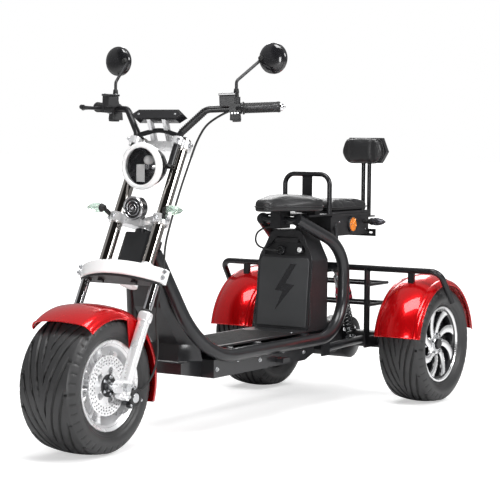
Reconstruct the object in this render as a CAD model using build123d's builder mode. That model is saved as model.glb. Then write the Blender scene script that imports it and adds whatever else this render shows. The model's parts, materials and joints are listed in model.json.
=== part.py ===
from build123d import *
import math
import os

os.makedirs("parts", exist_ok=True)

# Driving dimensions, in millimetres: +X forward, +Y left, +Z up, ground at zero
WHEELBASE = 1580
TRACK = 716
TYRE_RADIUS = 217
FRONT_TYRE_WIDTH = 212
REAR_TYRE_WIDTH = 180
RIM_SEAT = 127
RIM_LIP = 140
RIM_WALL = 7
LIP_WALL = 6
FRONT_RIM_HALF = 94
REAR_RIM_HALF = 71
HUB_RADIUS = 34
FRONT_AXLE_RADIUS = 8
REAR_STUB_RADIUS = 14
RUNNING_GAP = 0.3
SEAT_GAP = 0.3
CORD_SHARE = 0.45

# Fork and steering head, measured along the raked fork
RAKE = 27.3
LEG_LEAD = 14
STEM_SETBACK = 45
LEG_HALF = 135
TUBE_HALF = 84
TUBE_RADIUS = 19
STANCHION_RADIUS = 14
LEG_RADIUS = 19
COLLAR_RADIUS = 21
COLLAR_HEIGHT = 24
LEG_FOOT = -30
LEG_TOP = 249
BRACE_BOTTOM = 352
BRACE_HEIGHT = 46
BRACE_HALF = 163
BRACE_BULGE = 60
MID_YOKE_BOTTOM = 548
MID_YOKE_HEIGHT = 30
TOP_YOKE_BOTTOM = 814
TOP_YOKE_HEIGHT = 24
STEM_RADIUS = 14
HEAD_RADIUS = 30
HEAD_GAP = 8
CAP_HEIGHT = 10
CAP_RIM = 2

# Handlebar, controls and lamps
BAR_RADIUS = 11
BAR_AHEAD = 33
BAR_FOOT = 740
GRIP_RADIUS = 16.5
GRIP_LENGTH = 115
HEADLAMP_RADIUS = 73
HORN_RADIUS = 37
MIRROR_RADIUS = 48
SIGNAL_RADIUS = 14
SIGNAL_LENGTH = 70
SIGNAL_ROOT = 6

# Main frame
RAIL_RADIUS = 22
RAIL_HALF = 136
FLOOR_HEIGHT = 252
CROSS_RISE = 13
CROSS_RADIUS = 14
FLOOR_THICKNESS = 6
FLOOR_SHORT = 80
PAN_TOP_GAP = 6
PAN_HEIGHT = 60
PANEL_WALL = 4

# Battery, seats and trunk box
BATTERY_HALF = 112
BATTERY_TOP_HALF = 58
BATTERY_FRONT = 438
BATTERY_DEPTH = 140
BATTERY_HEIGHT = 356
BATTERY_LEAN = 36
SADDLE_HALF = 126
SADDLE_NOSE_HALF = 38
SADDLE_BOTTOM = 712
SADDLE_HEIGHT = 54
HOOP_RADIUS = 9
HOOP_HALF = 95
HOOP_TOP = 843
BOX_FRONT = 215
BOX_LENGTH = 290
BOX_HALF = 75
BOX_BOTTOM = 612
BOX_TOP = 694
BOX_WALL = 3
LID_HEIGHT = 8
PAD_HEIGHT = 42
LID_PIN_RADIUS = 2.5
POST_RADIUS = 8
POST_HALF = 13
BACKREST_BEHIND = 115
BACKREST_HALF = 93
BACKREST_BOTTOM = 880
BACKREST_HEIGHT = 98

# Rear axle, shocks, fenders and rack
HOUSING_RADIUS = 32
DIFF_RADIUS = 78
HOUSING_END = 236
ARM_RADIUS = 15
ARM_HALF = 110
PIVOT_X = 345
PIVOT_DROP = 43
SHOCK_HALF = 84
SHOCK_RADIUS = 24
FENDER_RADIUS = 258
FENDER_START = 10
FENDER_HALF = 92
FENDER_WALL = 2.5
FRONT_FENDER_RADIUS = 246
FRONT_FENDER_HALF = 113.5
RACK_RADIUS = 11
RACK_RISE = 19
RACK_X = 110

# Places worked out from the driving dimensions
fender_reach = FENDER_RADIUS * math.cos(math.radians(FENDER_START))
REAR_X = -(WHEELBASE + TYRE_RADIUS - fender_reach) / 2
FRONT_X = REAR_X + WHEELBASE
AXLE_Z = TYRE_RADIUS
RACK_HEIGHT = AXLE_Z + FENDER_RADIUS + RACK_RISE
PIVOT_HEIGHT = FLOOR_HEIGHT - PIVOT_DROP
WHEEL_Y = TRACK / 2
SIDES = (("left", 1), ("right", -1))
rake = math.radians(RAKE)
fork_forward = Vector(math.cos(rake), 0, math.sin(rake))
fork_up = Vector(-math.sin(rake), 0, math.cos(rake))
FORK = Plane(
    origin=Vector(FRONT_X, 0, AXLE_Z) - fork_forward * LEG_LEAD,
    x_dir=fork_forward,
    z_dir=fork_up,
)
FORK_AXIS = Axis(FORK.origin, FORK.z_dir)
BRACE_TOP = BRACE_BOTTOM + BRACE_HEIGHT
MID_YOKE_TOP = MID_YOKE_BOTTOM + MID_YOKE_HEIGHT
TOP_YOKE_TOP = TOP_YOKE_BOTTOM + TOP_YOKE_HEIGHT


def fork_point(ahead, left, up):
    """A point given ahead of, left of and up along the fork."""
    return FORK.from_local_coords(Vector(ahead, left, up))


def bar(start, end, radius):
    """Adds a straight round bar to the open part."""
    run = Vector(*end) - Vector(*start)
    with BuildSketch(Plane(origin=Vector(*start), z_dir=run)) as section:
        Circle(radius)
    extrude(section.sketch, amount=run.length)


def bent_bar(points, bends, radius):
    """Adds a round bar of straight runs joined by bends to the open part."""
    with BuildLine() as route:
        FilletPolyline(*points, radius=bends)
    with BuildSketch(Plane(origin=points[0], z_dir=points[1] - points[0])) as section:
        Circle(radius)
    sweep(section.sketch, path=route.wire())


def cord(points, radius):
    """Adds a flexible lead whose arcs are as large as its runs allow to the open part."""
    runs = [end - start for start, end in zip(points, points[1:])]
    bends = []
    for before, after in zip(runs, runs[1:]):
        turn = math.radians(before.get_angle(after))
        bends.append(CORD_SHARE * min(before.length, after.length) / math.tan(turn / 2))
    bent_bar(points, bends, radius)


def radial_plane(x, y, angle=90):
    """A plane through a wheel's axle: across it and out from it at an angle above the horizon ahead."""
    turn = math.radians(angle)
    return Plane(origin=(x, y, AXLE_Z), x_dir=(0, 1, 0), z_dir=(math.sin(turn), 0, -math.cos(turn)))


def wheel_plane(x, y):
    """A plane square to a wheel's axle, facing left."""
    return Plane(origin=(x, y, AXLE_Z), x_dir=(1, 0, 0), z_dir=(0, 1, 0))


def block(low, high):
    """Adds a box between two opposite corners to the open part."""
    middle = Vector(*[(a + b) / 2 for a, b in zip(low, high)])
    size = [b - a for a, b in zip(low, high)]
    with Locations(middle):
        Box(*size)


def side_blocks(low, high):
    """Adds a box on the left and its mirror image on the right to the open part."""
    block(low, high)
    block((low[0], -high[1], low[2]), (high[0], -low[1], high[2]))


# Tyres: a hollow low-profile casing that sits between the lips of its rim
def tyre(x, y, width, rim_half):
    """Adds a tyre about the axle at x, centred on y, to the open part."""
    half = width / 2
    bead = rim_half - LIP_WALL - SEAT_GAP
    seat = RIM_SEAT + SEAT_GAP
    belly = seat + (TYRE_RADIUS - seat) * 0.52
    shoulder = half * 0.83
    edge = TYRE_RADIUS - 9
    wall = 13
    flank = RIM_LIP + 2
    with BuildSketch(radial_plane(x, y)) as section:
        with BuildLine():
            Polyline((-bead + wall, flank), (-bead + wall, seat), (-bead, seat), (-bead, flank))
            ThreePointArc((-bead, flank), (-half, belly), (-shoulder, edge))
            ThreePointArc((-shoulder, edge), (0, TYRE_RADIUS), (shoulder, edge))
            ThreePointArc((shoulder, edge), (half, belly), (bead, flank))
            Polyline((bead, flank), (bead, seat), (bead - wall, seat), (bead - wall, flank))
            ThreePointArc((bead - wall, flank), (half - wall, belly), (shoulder - 4, edge - wall))
            ThreePointArc((shoulder - 4, edge - wall), (0, TYRE_RADIUS - wall), (4 - shoulder, edge - wall))
            ThreePointArc((4 - shoulder, edge - wall), (wall - half, belly), (-bead + wall, flank))
        make_face()
    revolve(section.sketch, axis=Axis((x, 0, AXLE_Z), (0, 1, 0)))


def rim_barrel(x, y, rim_half):
    """Adds a rim's barrel with its two lips to the open part."""
    groove = rim_half - LIP_WALL
    inner = RIM_SEAT - RIM_WALL
    with BuildSketch(radial_plane(x, y)) as section:
        with BuildLine():
            Polyline(
                (-rim_half, inner),
                (-rim_half, RIM_LIP),
                (-groove, RIM_LIP),
                (-groove, RIM_SEAT),
                (groove, RIM_SEAT),
                (groove, RIM_LIP),
                (rim_half, RIM_LIP),
                (rim_half, inner),
                close=True,
            )
        make_face()
    revolve(section.sketch, axis=Axis((x, 0, AXLE_Z), (0, 1, 0)))


with BuildPart() as front_tyre:
    tyre(FRONT_X, 0, FRONT_TYRE_WIDTH, FRONT_RIM_HALF)
front_tyre.part.label = "front_tyre"
export_step(front_tyre.part, "parts/front_tyre.step")

# Front rim: paired spokes set in from the disc side
FRONT_SPOKES = 5
FRONT_SPOKE_WIDTH = 20
FRONT_SPOKE_SPREAD = 15
FRONT_SPOKE_LEFT = 58
FRONT_SPOKE_DEPTH = 26
FRONT_HUB_LEFT = 80
FRONT_HUB_RIGHT = -78
with BuildPart() as front_rim:
    rim_barrel(FRONT_X, 0, FRONT_RIM_HALF)
    hub_plane = wheel_plane(FRONT_X, 0)
    with BuildSketch(hub_plane.offset(FRONT_HUB_RIGHT)):
        Circle(HUB_RADIUS)
    extrude(amount=FRONT_HUB_LEFT - FRONT_HUB_RIGHT)
    with BuildSketch(hub_plane.offset(FRONT_SPOKE_LEFT - FRONT_SPOKE_DEPTH)):
        with PolarLocations(0, FRONT_SPOKES):
            reach = RIM_SEAT - RIM_WALL / 2
            with Locations((reach / 2, FRONT_SPOKE_SPREAD), (reach / 2, -FRONT_SPOKE_SPREAD)):
                Rectangle(reach, FRONT_SPOKE_WIDTH)
    extrude(amount=FRONT_SPOKE_DEPTH)
    with BuildSketch(hub_plane.offset(FRONT_HUB_RIGHT)):
        Circle(FRONT_AXLE_RADIUS + RUNNING_GAP)
    extrude(amount=FRONT_HUB_LEFT - FRONT_HUB_RIGHT, mode=Mode.SUBTRACT)
front_rim.part.label = "front_rim"
export_step(front_rim.part, "parts/front_rim.step")

# Front brake disc, drilled, on the hub's left face
DISC_RADIUS = 94
DISC_THICKNESS = 4
DISC_HOLES = 20
DISC_HOLE_RADIUS = 4
with BuildPart() as front_disc:
    with BuildSketch(hub_plane.offset(FRONT_HUB_LEFT)):
        Circle(DISC_RADIUS)
        Circle(FRONT_AXLE_RADIUS + 8, mode=Mode.SUBTRACT)
        with PolarLocations(DISC_RADIUS - 14, DISC_HOLES):
            Circle(DISC_HOLE_RADIUS, mode=Mode.SUBTRACT)
        with PolarLocations(49, 5, 36):
            Circle(13, mode=Mode.SUBTRACT)
    extrude(amount=DISC_THICKNESS)
front_disc.part.label = "front_disc"
export_step(front_disc.part, "parts/front_disc.step")

# Rear wheels, a pair
REAR_SPOKES = 8
REAR_SPOKE_WIDTH = 24
REAR_SPOKE_FACE = 52
REAR_SPOKE_DEPTH = 22
REAR_HUB_INNER = -60
REAR_HUB_OUTER = 44
for name, side in SIDES:
    y = WHEEL_Y * side
    with BuildPart() as rear_tyre:
        tyre(REAR_X, y, REAR_TYRE_WIDTH, REAR_RIM_HALF)
    rear_tyre.part.label = f"rear_tyre_{name}"
    export_step(rear_tyre.part, f"parts/rear_tyre_{name}.step")
    with BuildPart() as rear_rim:
        rim_barrel(REAR_X, y, REAR_RIM_HALF)
        rear_hub_plane = wheel_plane(REAR_X, y)
        with BuildSketch(rear_hub_plane.offset(side * REAR_HUB_INNER)):
            Circle(HUB_RADIUS)
        extrude(amount=side * (REAR_HUB_OUTER - REAR_HUB_INNER))
        with BuildSketch(rear_hub_plane.offset(side * (REAR_SPOKE_FACE - REAR_SPOKE_DEPTH))):
            Circle(HUB_RADIUS + 16)
            with PolarLocations(0, REAR_SPOKES):
                reach = RIM_SEAT - RIM_WALL / 2
                with Locations((reach / 2, 0)):
                    Rectangle(reach, REAR_SPOKE_WIDTH)
        extrude(amount=side * REAR_SPOKE_DEPTH)
        with BuildSketch(rear_hub_plane.offset(side * REAR_HUB_INNER)):
            Circle(REAR_STUB_RADIUS + RUNNING_GAP)
        extrude(amount=side * (REAR_SPOKE_FACE - REAR_HUB_INNER), mode=Mode.SUBTRACT)
    rear_rim.part.label = f"rear_rim_{name}"
    export_step(rear_rim.part, f"parts/rear_rim_{name}.step")

# Fork: chrome upper tubes, thin stanchions and cast lower legs, each a left and right pair
with BuildPart() as fork_tubes:
    for _, side in SIDES:
        y = side * TUBE_HALF
        bar(fork_point(0, y, BRACE_TOP), fork_point(0, y, TOP_YOKE_TOP), TUBE_RADIUS)
        bar(
            fork_point(0, y, TOP_YOKE_TOP),
            fork_point(0, y, TOP_YOKE_TOP + CAP_HEIGHT),
            TUBE_RADIUS + CAP_RIM,
        )
fork_tubes.part.label = "fork_tubes"
export_step(fork_tubes.part, "parts/fork_tubes.step")

with BuildPart() as stanchions:
    for _, side in SIDES:
        y = side * LEG_HALF
        bar(fork_point(0, y, LEG_TOP), fork_point(0, y, BRACE_BOTTOM), STANCHION_RADIUS)
stanchions.part.label = "stanchions"
export_step(stanchions.part, "parts/stanchions.step")

LEG_BOSS_RADIUS = 22
LEG_BOSS_HALF = 17
with BuildPart() as fork_legs:
    for _, side in SIDES:
        y = side * LEG_HALF
        bar(fork_point(0, y, LEG_FOOT), fork_point(0, y, LEG_TOP), LEG_RADIUS)
        bar(fork_point(0, y, LEG_TOP - COLLAR_HEIGHT), fork_point(0, y, LEG_TOP), COLLAR_RADIUS)
        bar((FRONT_X, y - LEG_BOSS_HALF, AXLE_Z), (FRONT_X, y + LEG_BOSS_HALF, AXLE_Z), LEG_BOSS_RADIUS)
    with BuildSketch(wheel_plane(FRONT_X, -LEG_HALF - 2 * LEG_BOSS_HALF)):
        Circle(FRONT_AXLE_RADIUS)
    extrude(amount=2 * LEG_HALF + 4 * LEG_BOSS_HALF, mode=Mode.SUBTRACT)
fork_legs.part.label = "fork_legs"
export_step(fork_legs.part, "parts/fork_legs.step")

# Front axle with spacers up to the hub and a nut outside each leg
NUT_RADIUS = 14
NUT_HEIGHT = 10
SPACER_RADIUS = 13
SPACER_GAP = 2
leg_outside = LEG_HALF + LEG_RADIUS
leg_inside = LEG_HALF - LEG_RADIUS - SEAT_GAP
with BuildPart() as front_axle:
    axle_end = leg_outside + NUT_HEIGHT
    bar((FRONT_X, -axle_end, AXLE_Z), (FRONT_X, axle_end, AXLE_Z), FRONT_AXLE_RADIUS)
    bar((FRONT_X, FRONT_HUB_LEFT + SPACER_GAP, AXLE_Z), (FRONT_X, leg_inside, AXLE_Z), SPACER_RADIUS)
    bar((FRONT_X, -leg_inside, AXLE_Z), (FRONT_X, FRONT_HUB_RIGHT - SPACER_GAP, AXLE_Z), SPACER_RADIUS)
    for _, side in SIDES:
        with BuildSketch(wheel_plane(FRONT_X, side * (leg_outside + SEAT_GAP))):
            RegularPolygon(NUT_RADIUS, 6)
        extrude(amount=side * NUT_HEIGHT)
front_axle.part.label = "front_axle"
export_step(front_axle.part, "parts/front_axle.step")

# Lower yoke: a bulging cast brace that spreads the narrow upper tubes to the wide legs
YOKE_EYE = 30
BRACE_FRONT = 3
BRACE_REAR = -18
BRACE_EDGE = 5
with BuildPart() as lower_yoke:
    with BuildSketch(FORK.offset(BRACE_BOTTOM)):
        with BuildLine():
            ThreePointArc(
                (BRACE_FRONT, -BRACE_HALF), (BRACE_FRONT + BRACE_BULGE, 0), (BRACE_FRONT, BRACE_HALF)
            )
            Polyline(
                (BRACE_FRONT, BRACE_HALF),
                (BRACE_REAR, BRACE_HALF),
                (BRACE_REAR, -BRACE_HALF),
                (BRACE_FRONT, -BRACE_HALF),
            )
        make_face()
        with Locations((-STEM_SETBACK, 0)):
            Circle(YOKE_EYE)
            Circle(STEM_RADIUS, mode=Mode.SUBTRACT)
    extrude(amount=BRACE_HEIGHT)
    for face in (lower_yoke.faces().sort_by(FORK_AXIS)[0], lower_yoke.faces().sort_by(FORK_AXIS)[-1]):
        fillet(face.edges().sort_by(SortBy.LENGTH)[-1], BRACE_EDGE)
lower_yoke.part.label = "lower_yoke"
export_step(lower_yoke.part, "parts/lower_yoke.step")

# Middle yoke with the steering stem, and the top yoke that carries the bars
YOKE_RING = 9
with BuildPart() as mid_yoke:
    with BuildSketch(FORK.offset(MID_YOKE_BOTTOM)):
        with BuildLine():
            Polyline(
                (-STEM_SETBACK - 10, YOKE_EYE),
                (-STEM_SETBACK - 10, -YOKE_EYE),
                (-TUBE_RADIUS, -TUBE_HALF),
                (TUBE_RADIUS - 2, -TUBE_HALF),
                (-STEM_SETBACK + 25, 0),
                (TUBE_RADIUS - 2, TUBE_HALF),
                (-TUBE_RADIUS, TUBE_HALF),
                close=True,
            )
        make_face()
        with Locations((-STEM_SETBACK, 0)):
            Circle(YOKE_EYE)
        with Locations((0, TUBE_HALF), (0, -TUBE_HALF)):
            Circle(TUBE_RADIUS + YOKE_RING)
            Circle(TUBE_RADIUS, mode=Mode.SUBTRACT)
    extrude(amount=MID_YOKE_HEIGHT)
    bar(
        fork_point(-STEM_SETBACK, 0, BRACE_BOTTOM),
        fork_point(-STEM_SETBACK, 0, MID_YOKE_BOTTOM + 1),
        STEM_RADIUS,
    )
mid_yoke.part.label = "mid_yoke"
export_step(mid_yoke.part, "parts/mid_yoke.step")

BAR_EYE = 19
YOKE_BRIDGE = 26
with BuildPart() as top_yoke:
    with BuildSketch(FORK.offset(TOP_YOKE_BOTTOM)):
        Rectangle(YOKE_BRIDGE, 2 * TUBE_HALF)
        with Locations((0, TUBE_HALF), (0, -TUBE_HALF)):
            Circle(TUBE_RADIUS + YOKE_RING)
        with Locations((BAR_AHEAD, TUBE_HALF), (BAR_AHEAD, -TUBE_HALF)):
            Circle(BAR_EYE)
            Circle(BAR_RADIUS, mode=Mode.SUBTRACT)
        with Locations((0, TUBE_HALF), (0, -TUBE_HALF)):
            Circle(TUBE_RADIUS, mode=Mode.SUBTRACT)
    extrude(amount=TOP_YOKE_HEIGHT)
top_yoke.part.label = "top_yoke"
export_step(top_yoke.part, "parts/top_yoke.step")

# Handlebar: two bent bars clamped ahead of the fork tubes and tied by an arched cross bar
BAR_BEND = (30, 156, 944)
BAR_TIP = (-60, 361, 1002)
BAR_SHOULDER = TOP_YOKE_TOP + 16
BAR_TURN = 36
TIE_RADIUS = 8
TIE_HEIGHT = TOP_YOKE_TOP + TIE_RADIUS + 1
TIE_RISE = 24
TIE_BEND = 120
bar_bend = {side: fork_point(BAR_BEND[0], side * BAR_BEND[1], BAR_BEND[2]) for _, side in SIDES}
bar_tip = {side: fork_point(BAR_TIP[0], side * BAR_TIP[1], BAR_TIP[2]) for _, side in SIDES}
with BuildPart() as handlebar:
    for _, side in SIDES:
        bent_bar(
            [
                fork_point(BAR_AHEAD, side * TUBE_HALF, BAR_FOOT),
                fork_point(BAR_AHEAD, side * TUBE_HALF, BAR_SHOULDER),
                bar_bend[side],
                bar_tip[side],
            ],
            BAR_TURN,
            BAR_RADIUS,
        )
    bent_bar(
        [
            fork_point(BAR_AHEAD, TUBE_HALF, TIE_HEIGHT),
            fork_point(BAR_AHEAD, 0, TIE_HEIGHT + TIE_RISE),
            fork_point(BAR_AHEAD, -TUBE_HALF, TIE_HEIGHT),
        ],
        TIE_BEND,
        TIE_RADIUS,
    )
handlebar.part.label = "handlebar"
export_step(handlebar.part, "parts/handlebar.step")


def bar_plane(side, along):
    """A plane square to one handlebar end, this far out from its bend."""
    run = (bar_tip[side] - bar_bend[side]).normalized()
    return Plane(origin=bar_bend[side] + run * along, x_dir=Vector(0, 0, 1).cross(run), z_dir=run)


bar_reach = (bar_tip[1] - bar_bend[1]).length
grip_start = bar_reach - GRIP_LENGTH
GRIP_CAP = 6
with BuildPart() as grips:
    for _, side in SIDES:
        with BuildSketch(bar_plane(side, grip_start)):
            Circle(GRIP_RADIUS)
            Circle(BAR_RADIUS, mode=Mode.SUBTRACT)
        extrude(amount=GRIP_LENGTH)
        with BuildSketch(bar_plane(side, bar_reach)):
            Circle(GRIP_RADIUS)
        extrude(amount=GRIP_CAP)
grips.part.label = "grips"
export_step(grips.part, "parts/grips.step")

# Controls on each side: clamp and switch block, master cylinder with reservoir, and a lever
CLAMP_LENGTH = 36
CLAMP_RADIUS = 18
CLAMP_GAP = 3
CLAMP_REACH = 50
CLAMP_HEIGHT = 26
POT_AHEAD = 30
POT_RADIUS = 16
POT_HEIGHT = 36
LEVER_ROOT = 36
LEVER_AHEAD = 62
LEVER_RADIUS = 5
LEVER_BEND = 20
LEVER_KNOB = 8
clamp_start = grip_start - CLAMP_GAP - CLAMP_LENGTH
with BuildPart() as controls:
    for _, side in SIDES:
        with BuildSketch(bar_plane(side, clamp_start)):
            Circle(CLAMP_RADIUS)
            with Locations((-side * CLAMP_REACH / 2, 0)):
                Rectangle(CLAMP_REACH, CLAMP_HEIGHT)
            Circle(BAR_RADIUS, mode=Mode.SUBTRACT)
        extrude(amount=CLAMP_LENGTH)
        root = bar_plane(side, clamp_start + CLAMP_LENGTH / 2)
        pot = root.from_local_coords(Vector(-side * POT_AHEAD, 0, 0))
        bar(pot, pot + Vector(0, 0, POT_HEIGHT), POT_RADIUS)
        lever_root = root.from_local_coords(Vector(-side * LEVER_ROOT, 0, 0))
        lever_knee = bar_plane(side, grip_start + 20).from_local_coords(Vector(-side * LEVER_AHEAD, 0, 0))
        lever_tip = bar_plane(side, bar_reach - 6).from_local_coords(Vector(-side * LEVER_AHEAD, 0, 0))
        lever_end = (lever_tip - lever_knee).normalized()
        bent_bar([lever_root, lever_knee, lever_tip], LEVER_BEND, LEVER_RADIUS)
        bar(lever_tip - lever_end * LEVER_KNOB, lever_tip + lever_end * LEVER_KNOB, LEVER_KNOB)
controls.part.label = "controls"
export_step(controls.part, "parts/controls.step")

# Round mirrors on bent stems that stand on the control clamps
MIRROR_PLACE = (-570, 310, 1230)
MIRROR_THICKNESS = 14
STEM_WIRE = 5
with BuildPart() as mirrors:
    for _, side in SIDES:
        foot_plane = bar_plane(side, clamp_start + CLAMP_LENGTH / 2)
        foot = foot_plane.origin + Vector(0, 0, CLAMP_RADIUS - 1)
        face = Vector(FRONT_X + MIRROR_PLACE[0], side * MIRROR_PLACE[1], MIRROR_PLACE[2])
        elbow = foot + Vector(0, 0, 70)
        bent_bar([foot, elbow, face - Vector(0, side * (MIRROR_RADIUS - 8), 0)], 16, STEM_WIRE)
        with BuildSketch(Plane(origin=face - Vector(MIRROR_THICKNESS / 2, 0, 0), z_dir=(1, 0, 0))):
            Circle(MIRROR_RADIUS)
        extrude(amount=MIRROR_THICKNESS)
    add(controls.part, mode=Mode.SUBTRACT)
mirrors.part.label = "mirrors"
export_step(mirrors.part, "parts/mirrors.step")

# Display on a twin-legged riser above the top yoke
DISPLAY_HALF = 103
DISPLAY_HEIGHT = 36
DISPLAY_DEPTH = 26
DISPLAY_AHEAD = 56
DISPLAY_UP = 905
RISER_HALF = 30
RISER_WALL = 14
with BuildPart() as riser:
    for _, side in SIDES:
        leg_middle = fork_point(0, side * RISER_HALF, 0)
        with BuildSketch(Plane(origin=leg_middle, x_dir=fork_forward, z_dir=(0, -1, 0))):
            with BuildLine():
                Polyline(
                    (-YOKE_BRIDGE / 2, TOP_YOKE_TOP),
                    (YOKE_BRIDGE / 2, TOP_YOKE_TOP),
                    (DISPLAY_AHEAD + DISPLAY_DEPTH / 2, DISPLAY_UP - DISPLAY_HEIGHT / 2),
                    (DISPLAY_AHEAD - DISPLAY_DEPTH / 2, DISPLAY_UP - DISPLAY_HEIGHT / 2),
                    close=True,
                )
            make_face()
        extrude(amount=RISER_WALL / 2, both=True)
    add(handlebar.part, mode=Mode.SUBTRACT)
riser.part.label = "riser"
export_step(riser.part, "parts/riser.step")

with BuildPart() as display:
    display_back = fork_point(DISPLAY_AHEAD - DISPLAY_DEPTH / 2, 0, DISPLAY_UP)
    with BuildSketch(Plane(origin=display_back, x_dir=(0, 1, 0), z_dir=fork_forward)):
        with BuildLine():
            Polyline(
                (-DISPLAY_HALF, 0),
                (-DISPLAY_HALF + 24, DISPLAY_HEIGHT / 2),
                (DISPLAY_HALF - 24, DISPLAY_HEIGHT / 2),
                (DISPLAY_HALF, 0),
                (DISPLAY_HALF - 24, -DISPLAY_HEIGHT / 2),
                (-DISPLAY_HALF + 24, -DISPLAY_HEIGHT / 2),
                close=True,
            )
        make_face()
    extrude(amount=DISPLAY_DEPTH)
display.part.label = "display"
export_step(display.part, "parts/display.step")

# Headlamp: a bowl between the tubes with a bright ring and lens in front
LAMP_X = FRONT_X - 280
LAMP_Z = 881
LAMP_DEPTH = 105
RING_DEPTH = 14
RING_WIDTH = 9
LENS_SINK = 4
BOWL_DEPTH = 62
SHELL_FRONT = 38
SHELL_WAIST = (75, 50)
SHELL_TAIL = 24
EAR_START = 48
EAR_RADIUS = 9
with BuildPart() as headlamp_shell:
    with BuildSketch(Plane(origin=(LAMP_X, 0, LAMP_Z), x_dir=(1, 0, 0), z_dir=(0, -1, 0))):
        with BuildLine():
            mouth = HEADLAMP_RADIUS - RING_WIDTH - 1
            Polyline((-RING_DEPTH, mouth), (-RING_DEPTH, HEADLAMP_RADIUS - 4), (-SHELL_FRONT, HEADLAMP_RADIUS - 7))
            ThreePointArc(
                (-SHELL_FRONT, HEADLAMP_RADIUS - 7), (-SHELL_WAIST[0], SHELL_WAIST[1]), (-LAMP_DEPTH, SHELL_TAIL)
            )
            Polyline((-LAMP_DEPTH, SHELL_TAIL), (-LAMP_DEPTH, 0), (-BOWL_DEPTH, 0), (-BOWL_DEPTH, mouth / 4))
            ThreePointArc((-BOWL_DEPTH, mouth / 4), (-BOWL_DEPTH * 0.65, mouth * 0.75), (-RING_DEPTH, mouth))
        make_face()
    revolve(axis=Axis((LAMP_X, 0, LAMP_Z), (1, 0, 0)))
    ear = TUBE_HALF - TUBE_RADIUS - SEAT_GAP
    ear_x = FORK.origin.X - math.tan(rake) * (LAMP_Z - FORK.origin.Z)
    for _, side in SIDES:
        bar((ear_x, side * EAR_START, LAMP_Z), (ear_x, side * ear, LAMP_Z), EAR_RADIUS)
headlamp_shell.part.label = "headlamp_shell"
export_step(headlamp_shell.part, "parts/headlamp_shell.step")

with BuildPart() as headlamp_ring:
    with BuildSketch(Plane(origin=(LAMP_X - RING_DEPTH, 0, LAMP_Z), z_dir=(1, 0, 0))):
        Circle(HEADLAMP_RADIUS)
        Circle(HEADLAMP_RADIUS - RING_WIDTH, mode=Mode.SUBTRACT)
    extrude(amount=RING_DEPTH)
headlamp_ring.part.label = "headlamp_ring"
export_step(headlamp_ring.part, "parts/headlamp_ring.step")

with BuildPart() as headlamp_lens:
    with BuildSketch(Plane(origin=(LAMP_X - RING_DEPTH, 0, LAMP_Z), z_dir=(1, 0, 0))):
        Circle(HEADLAMP_RADIUS - RING_WIDTH)
    extrude(amount=RING_DEPTH - LENS_SINK)
headlamp_lens.part.label = "headlamp_lens"
export_step(headlamp_lens.part, "parts/headlamp_lens.step")

# Horn on a bracket ahead of the middle yoke, and the two front turn signals
HORN_X = FRONT_X - 238
HORN_Z = 749
HORN_DEPTH = 28
HORN_STEM = 7
with BuildPart() as horn:
    with BuildSketch(Plane(origin=(HORN_X, 0, HORN_Z), z_dir=(-1, 0, 0))):
        Circle(HORN_RADIUS)
    extrude(amount=HORN_DEPTH)
    bar((HORN_X - HORN_DEPTH, 0, HORN_Z), fork_point(-STEM_SETBACK, 0, MID_YOKE_TOP - 14), HORN_STEM)
    add(mid_yoke.part, mode=Mode.SUBTRACT)
horn.part.label = "horn"
export_step(horn.part, "parts/horn.step")

SIGNAL_AHEAD = 40
SIGNAL_UP = MID_YOKE_TOP + 4
SIGNAL_INNER = 119
STALK_RADIUS = 5
STALK_LAP = 12
STALK_FOOT = (8, 100, MID_YOKE_TOP - 12)


def signal(start, side):
    """Adds one leaf-shaped turn signal that points out to the side to the open part."""
    with BuildSketch(Plane(origin=start, x_dir=(0, 1, 0), z_dir=(1, 0, 0))) as section:
        with BuildLine():
            Polyline((side * SIGNAL_LENGTH, 0), (0, 0), (0, SIGNAL_ROOT))
            Bezier(
                (0, SIGNAL_ROOT),
                (side * SIGNAL_LENGTH * 0.25, SIGNAL_RADIUS * 1.5),
                (side * SIGNAL_LENGTH * 0.75, SIGNAL_RADIUS * 1.2),
                (side * SIGNAL_LENGTH, 0),
            )
        make_face()
    revolve(section.sketch, axis=Axis(start, Vector(0, 1, 0)))


with BuildPart() as front_signals:
    for _, side in SIDES:
        signal(fork_point(SIGNAL_AHEAD, side * SIGNAL_INNER, SIGNAL_UP), side)
        bar(
            fork_point(SIGNAL_AHEAD, side * (SIGNAL_INNER + STALK_LAP), SIGNAL_UP),
            fork_point(STALK_FOOT[0], side * STALK_FOOT[1], STALK_FOOT[2]),
            STALK_RADIUS,
        )
    add(mid_yoke.part, mode=Mode.SUBTRACT)
    add(fork_tubes.part, mode=Mode.SUBTRACT)
front_signals.part.label = "front_signals"
export_step(front_signals.part, "parts/front_signals.step")

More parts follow.
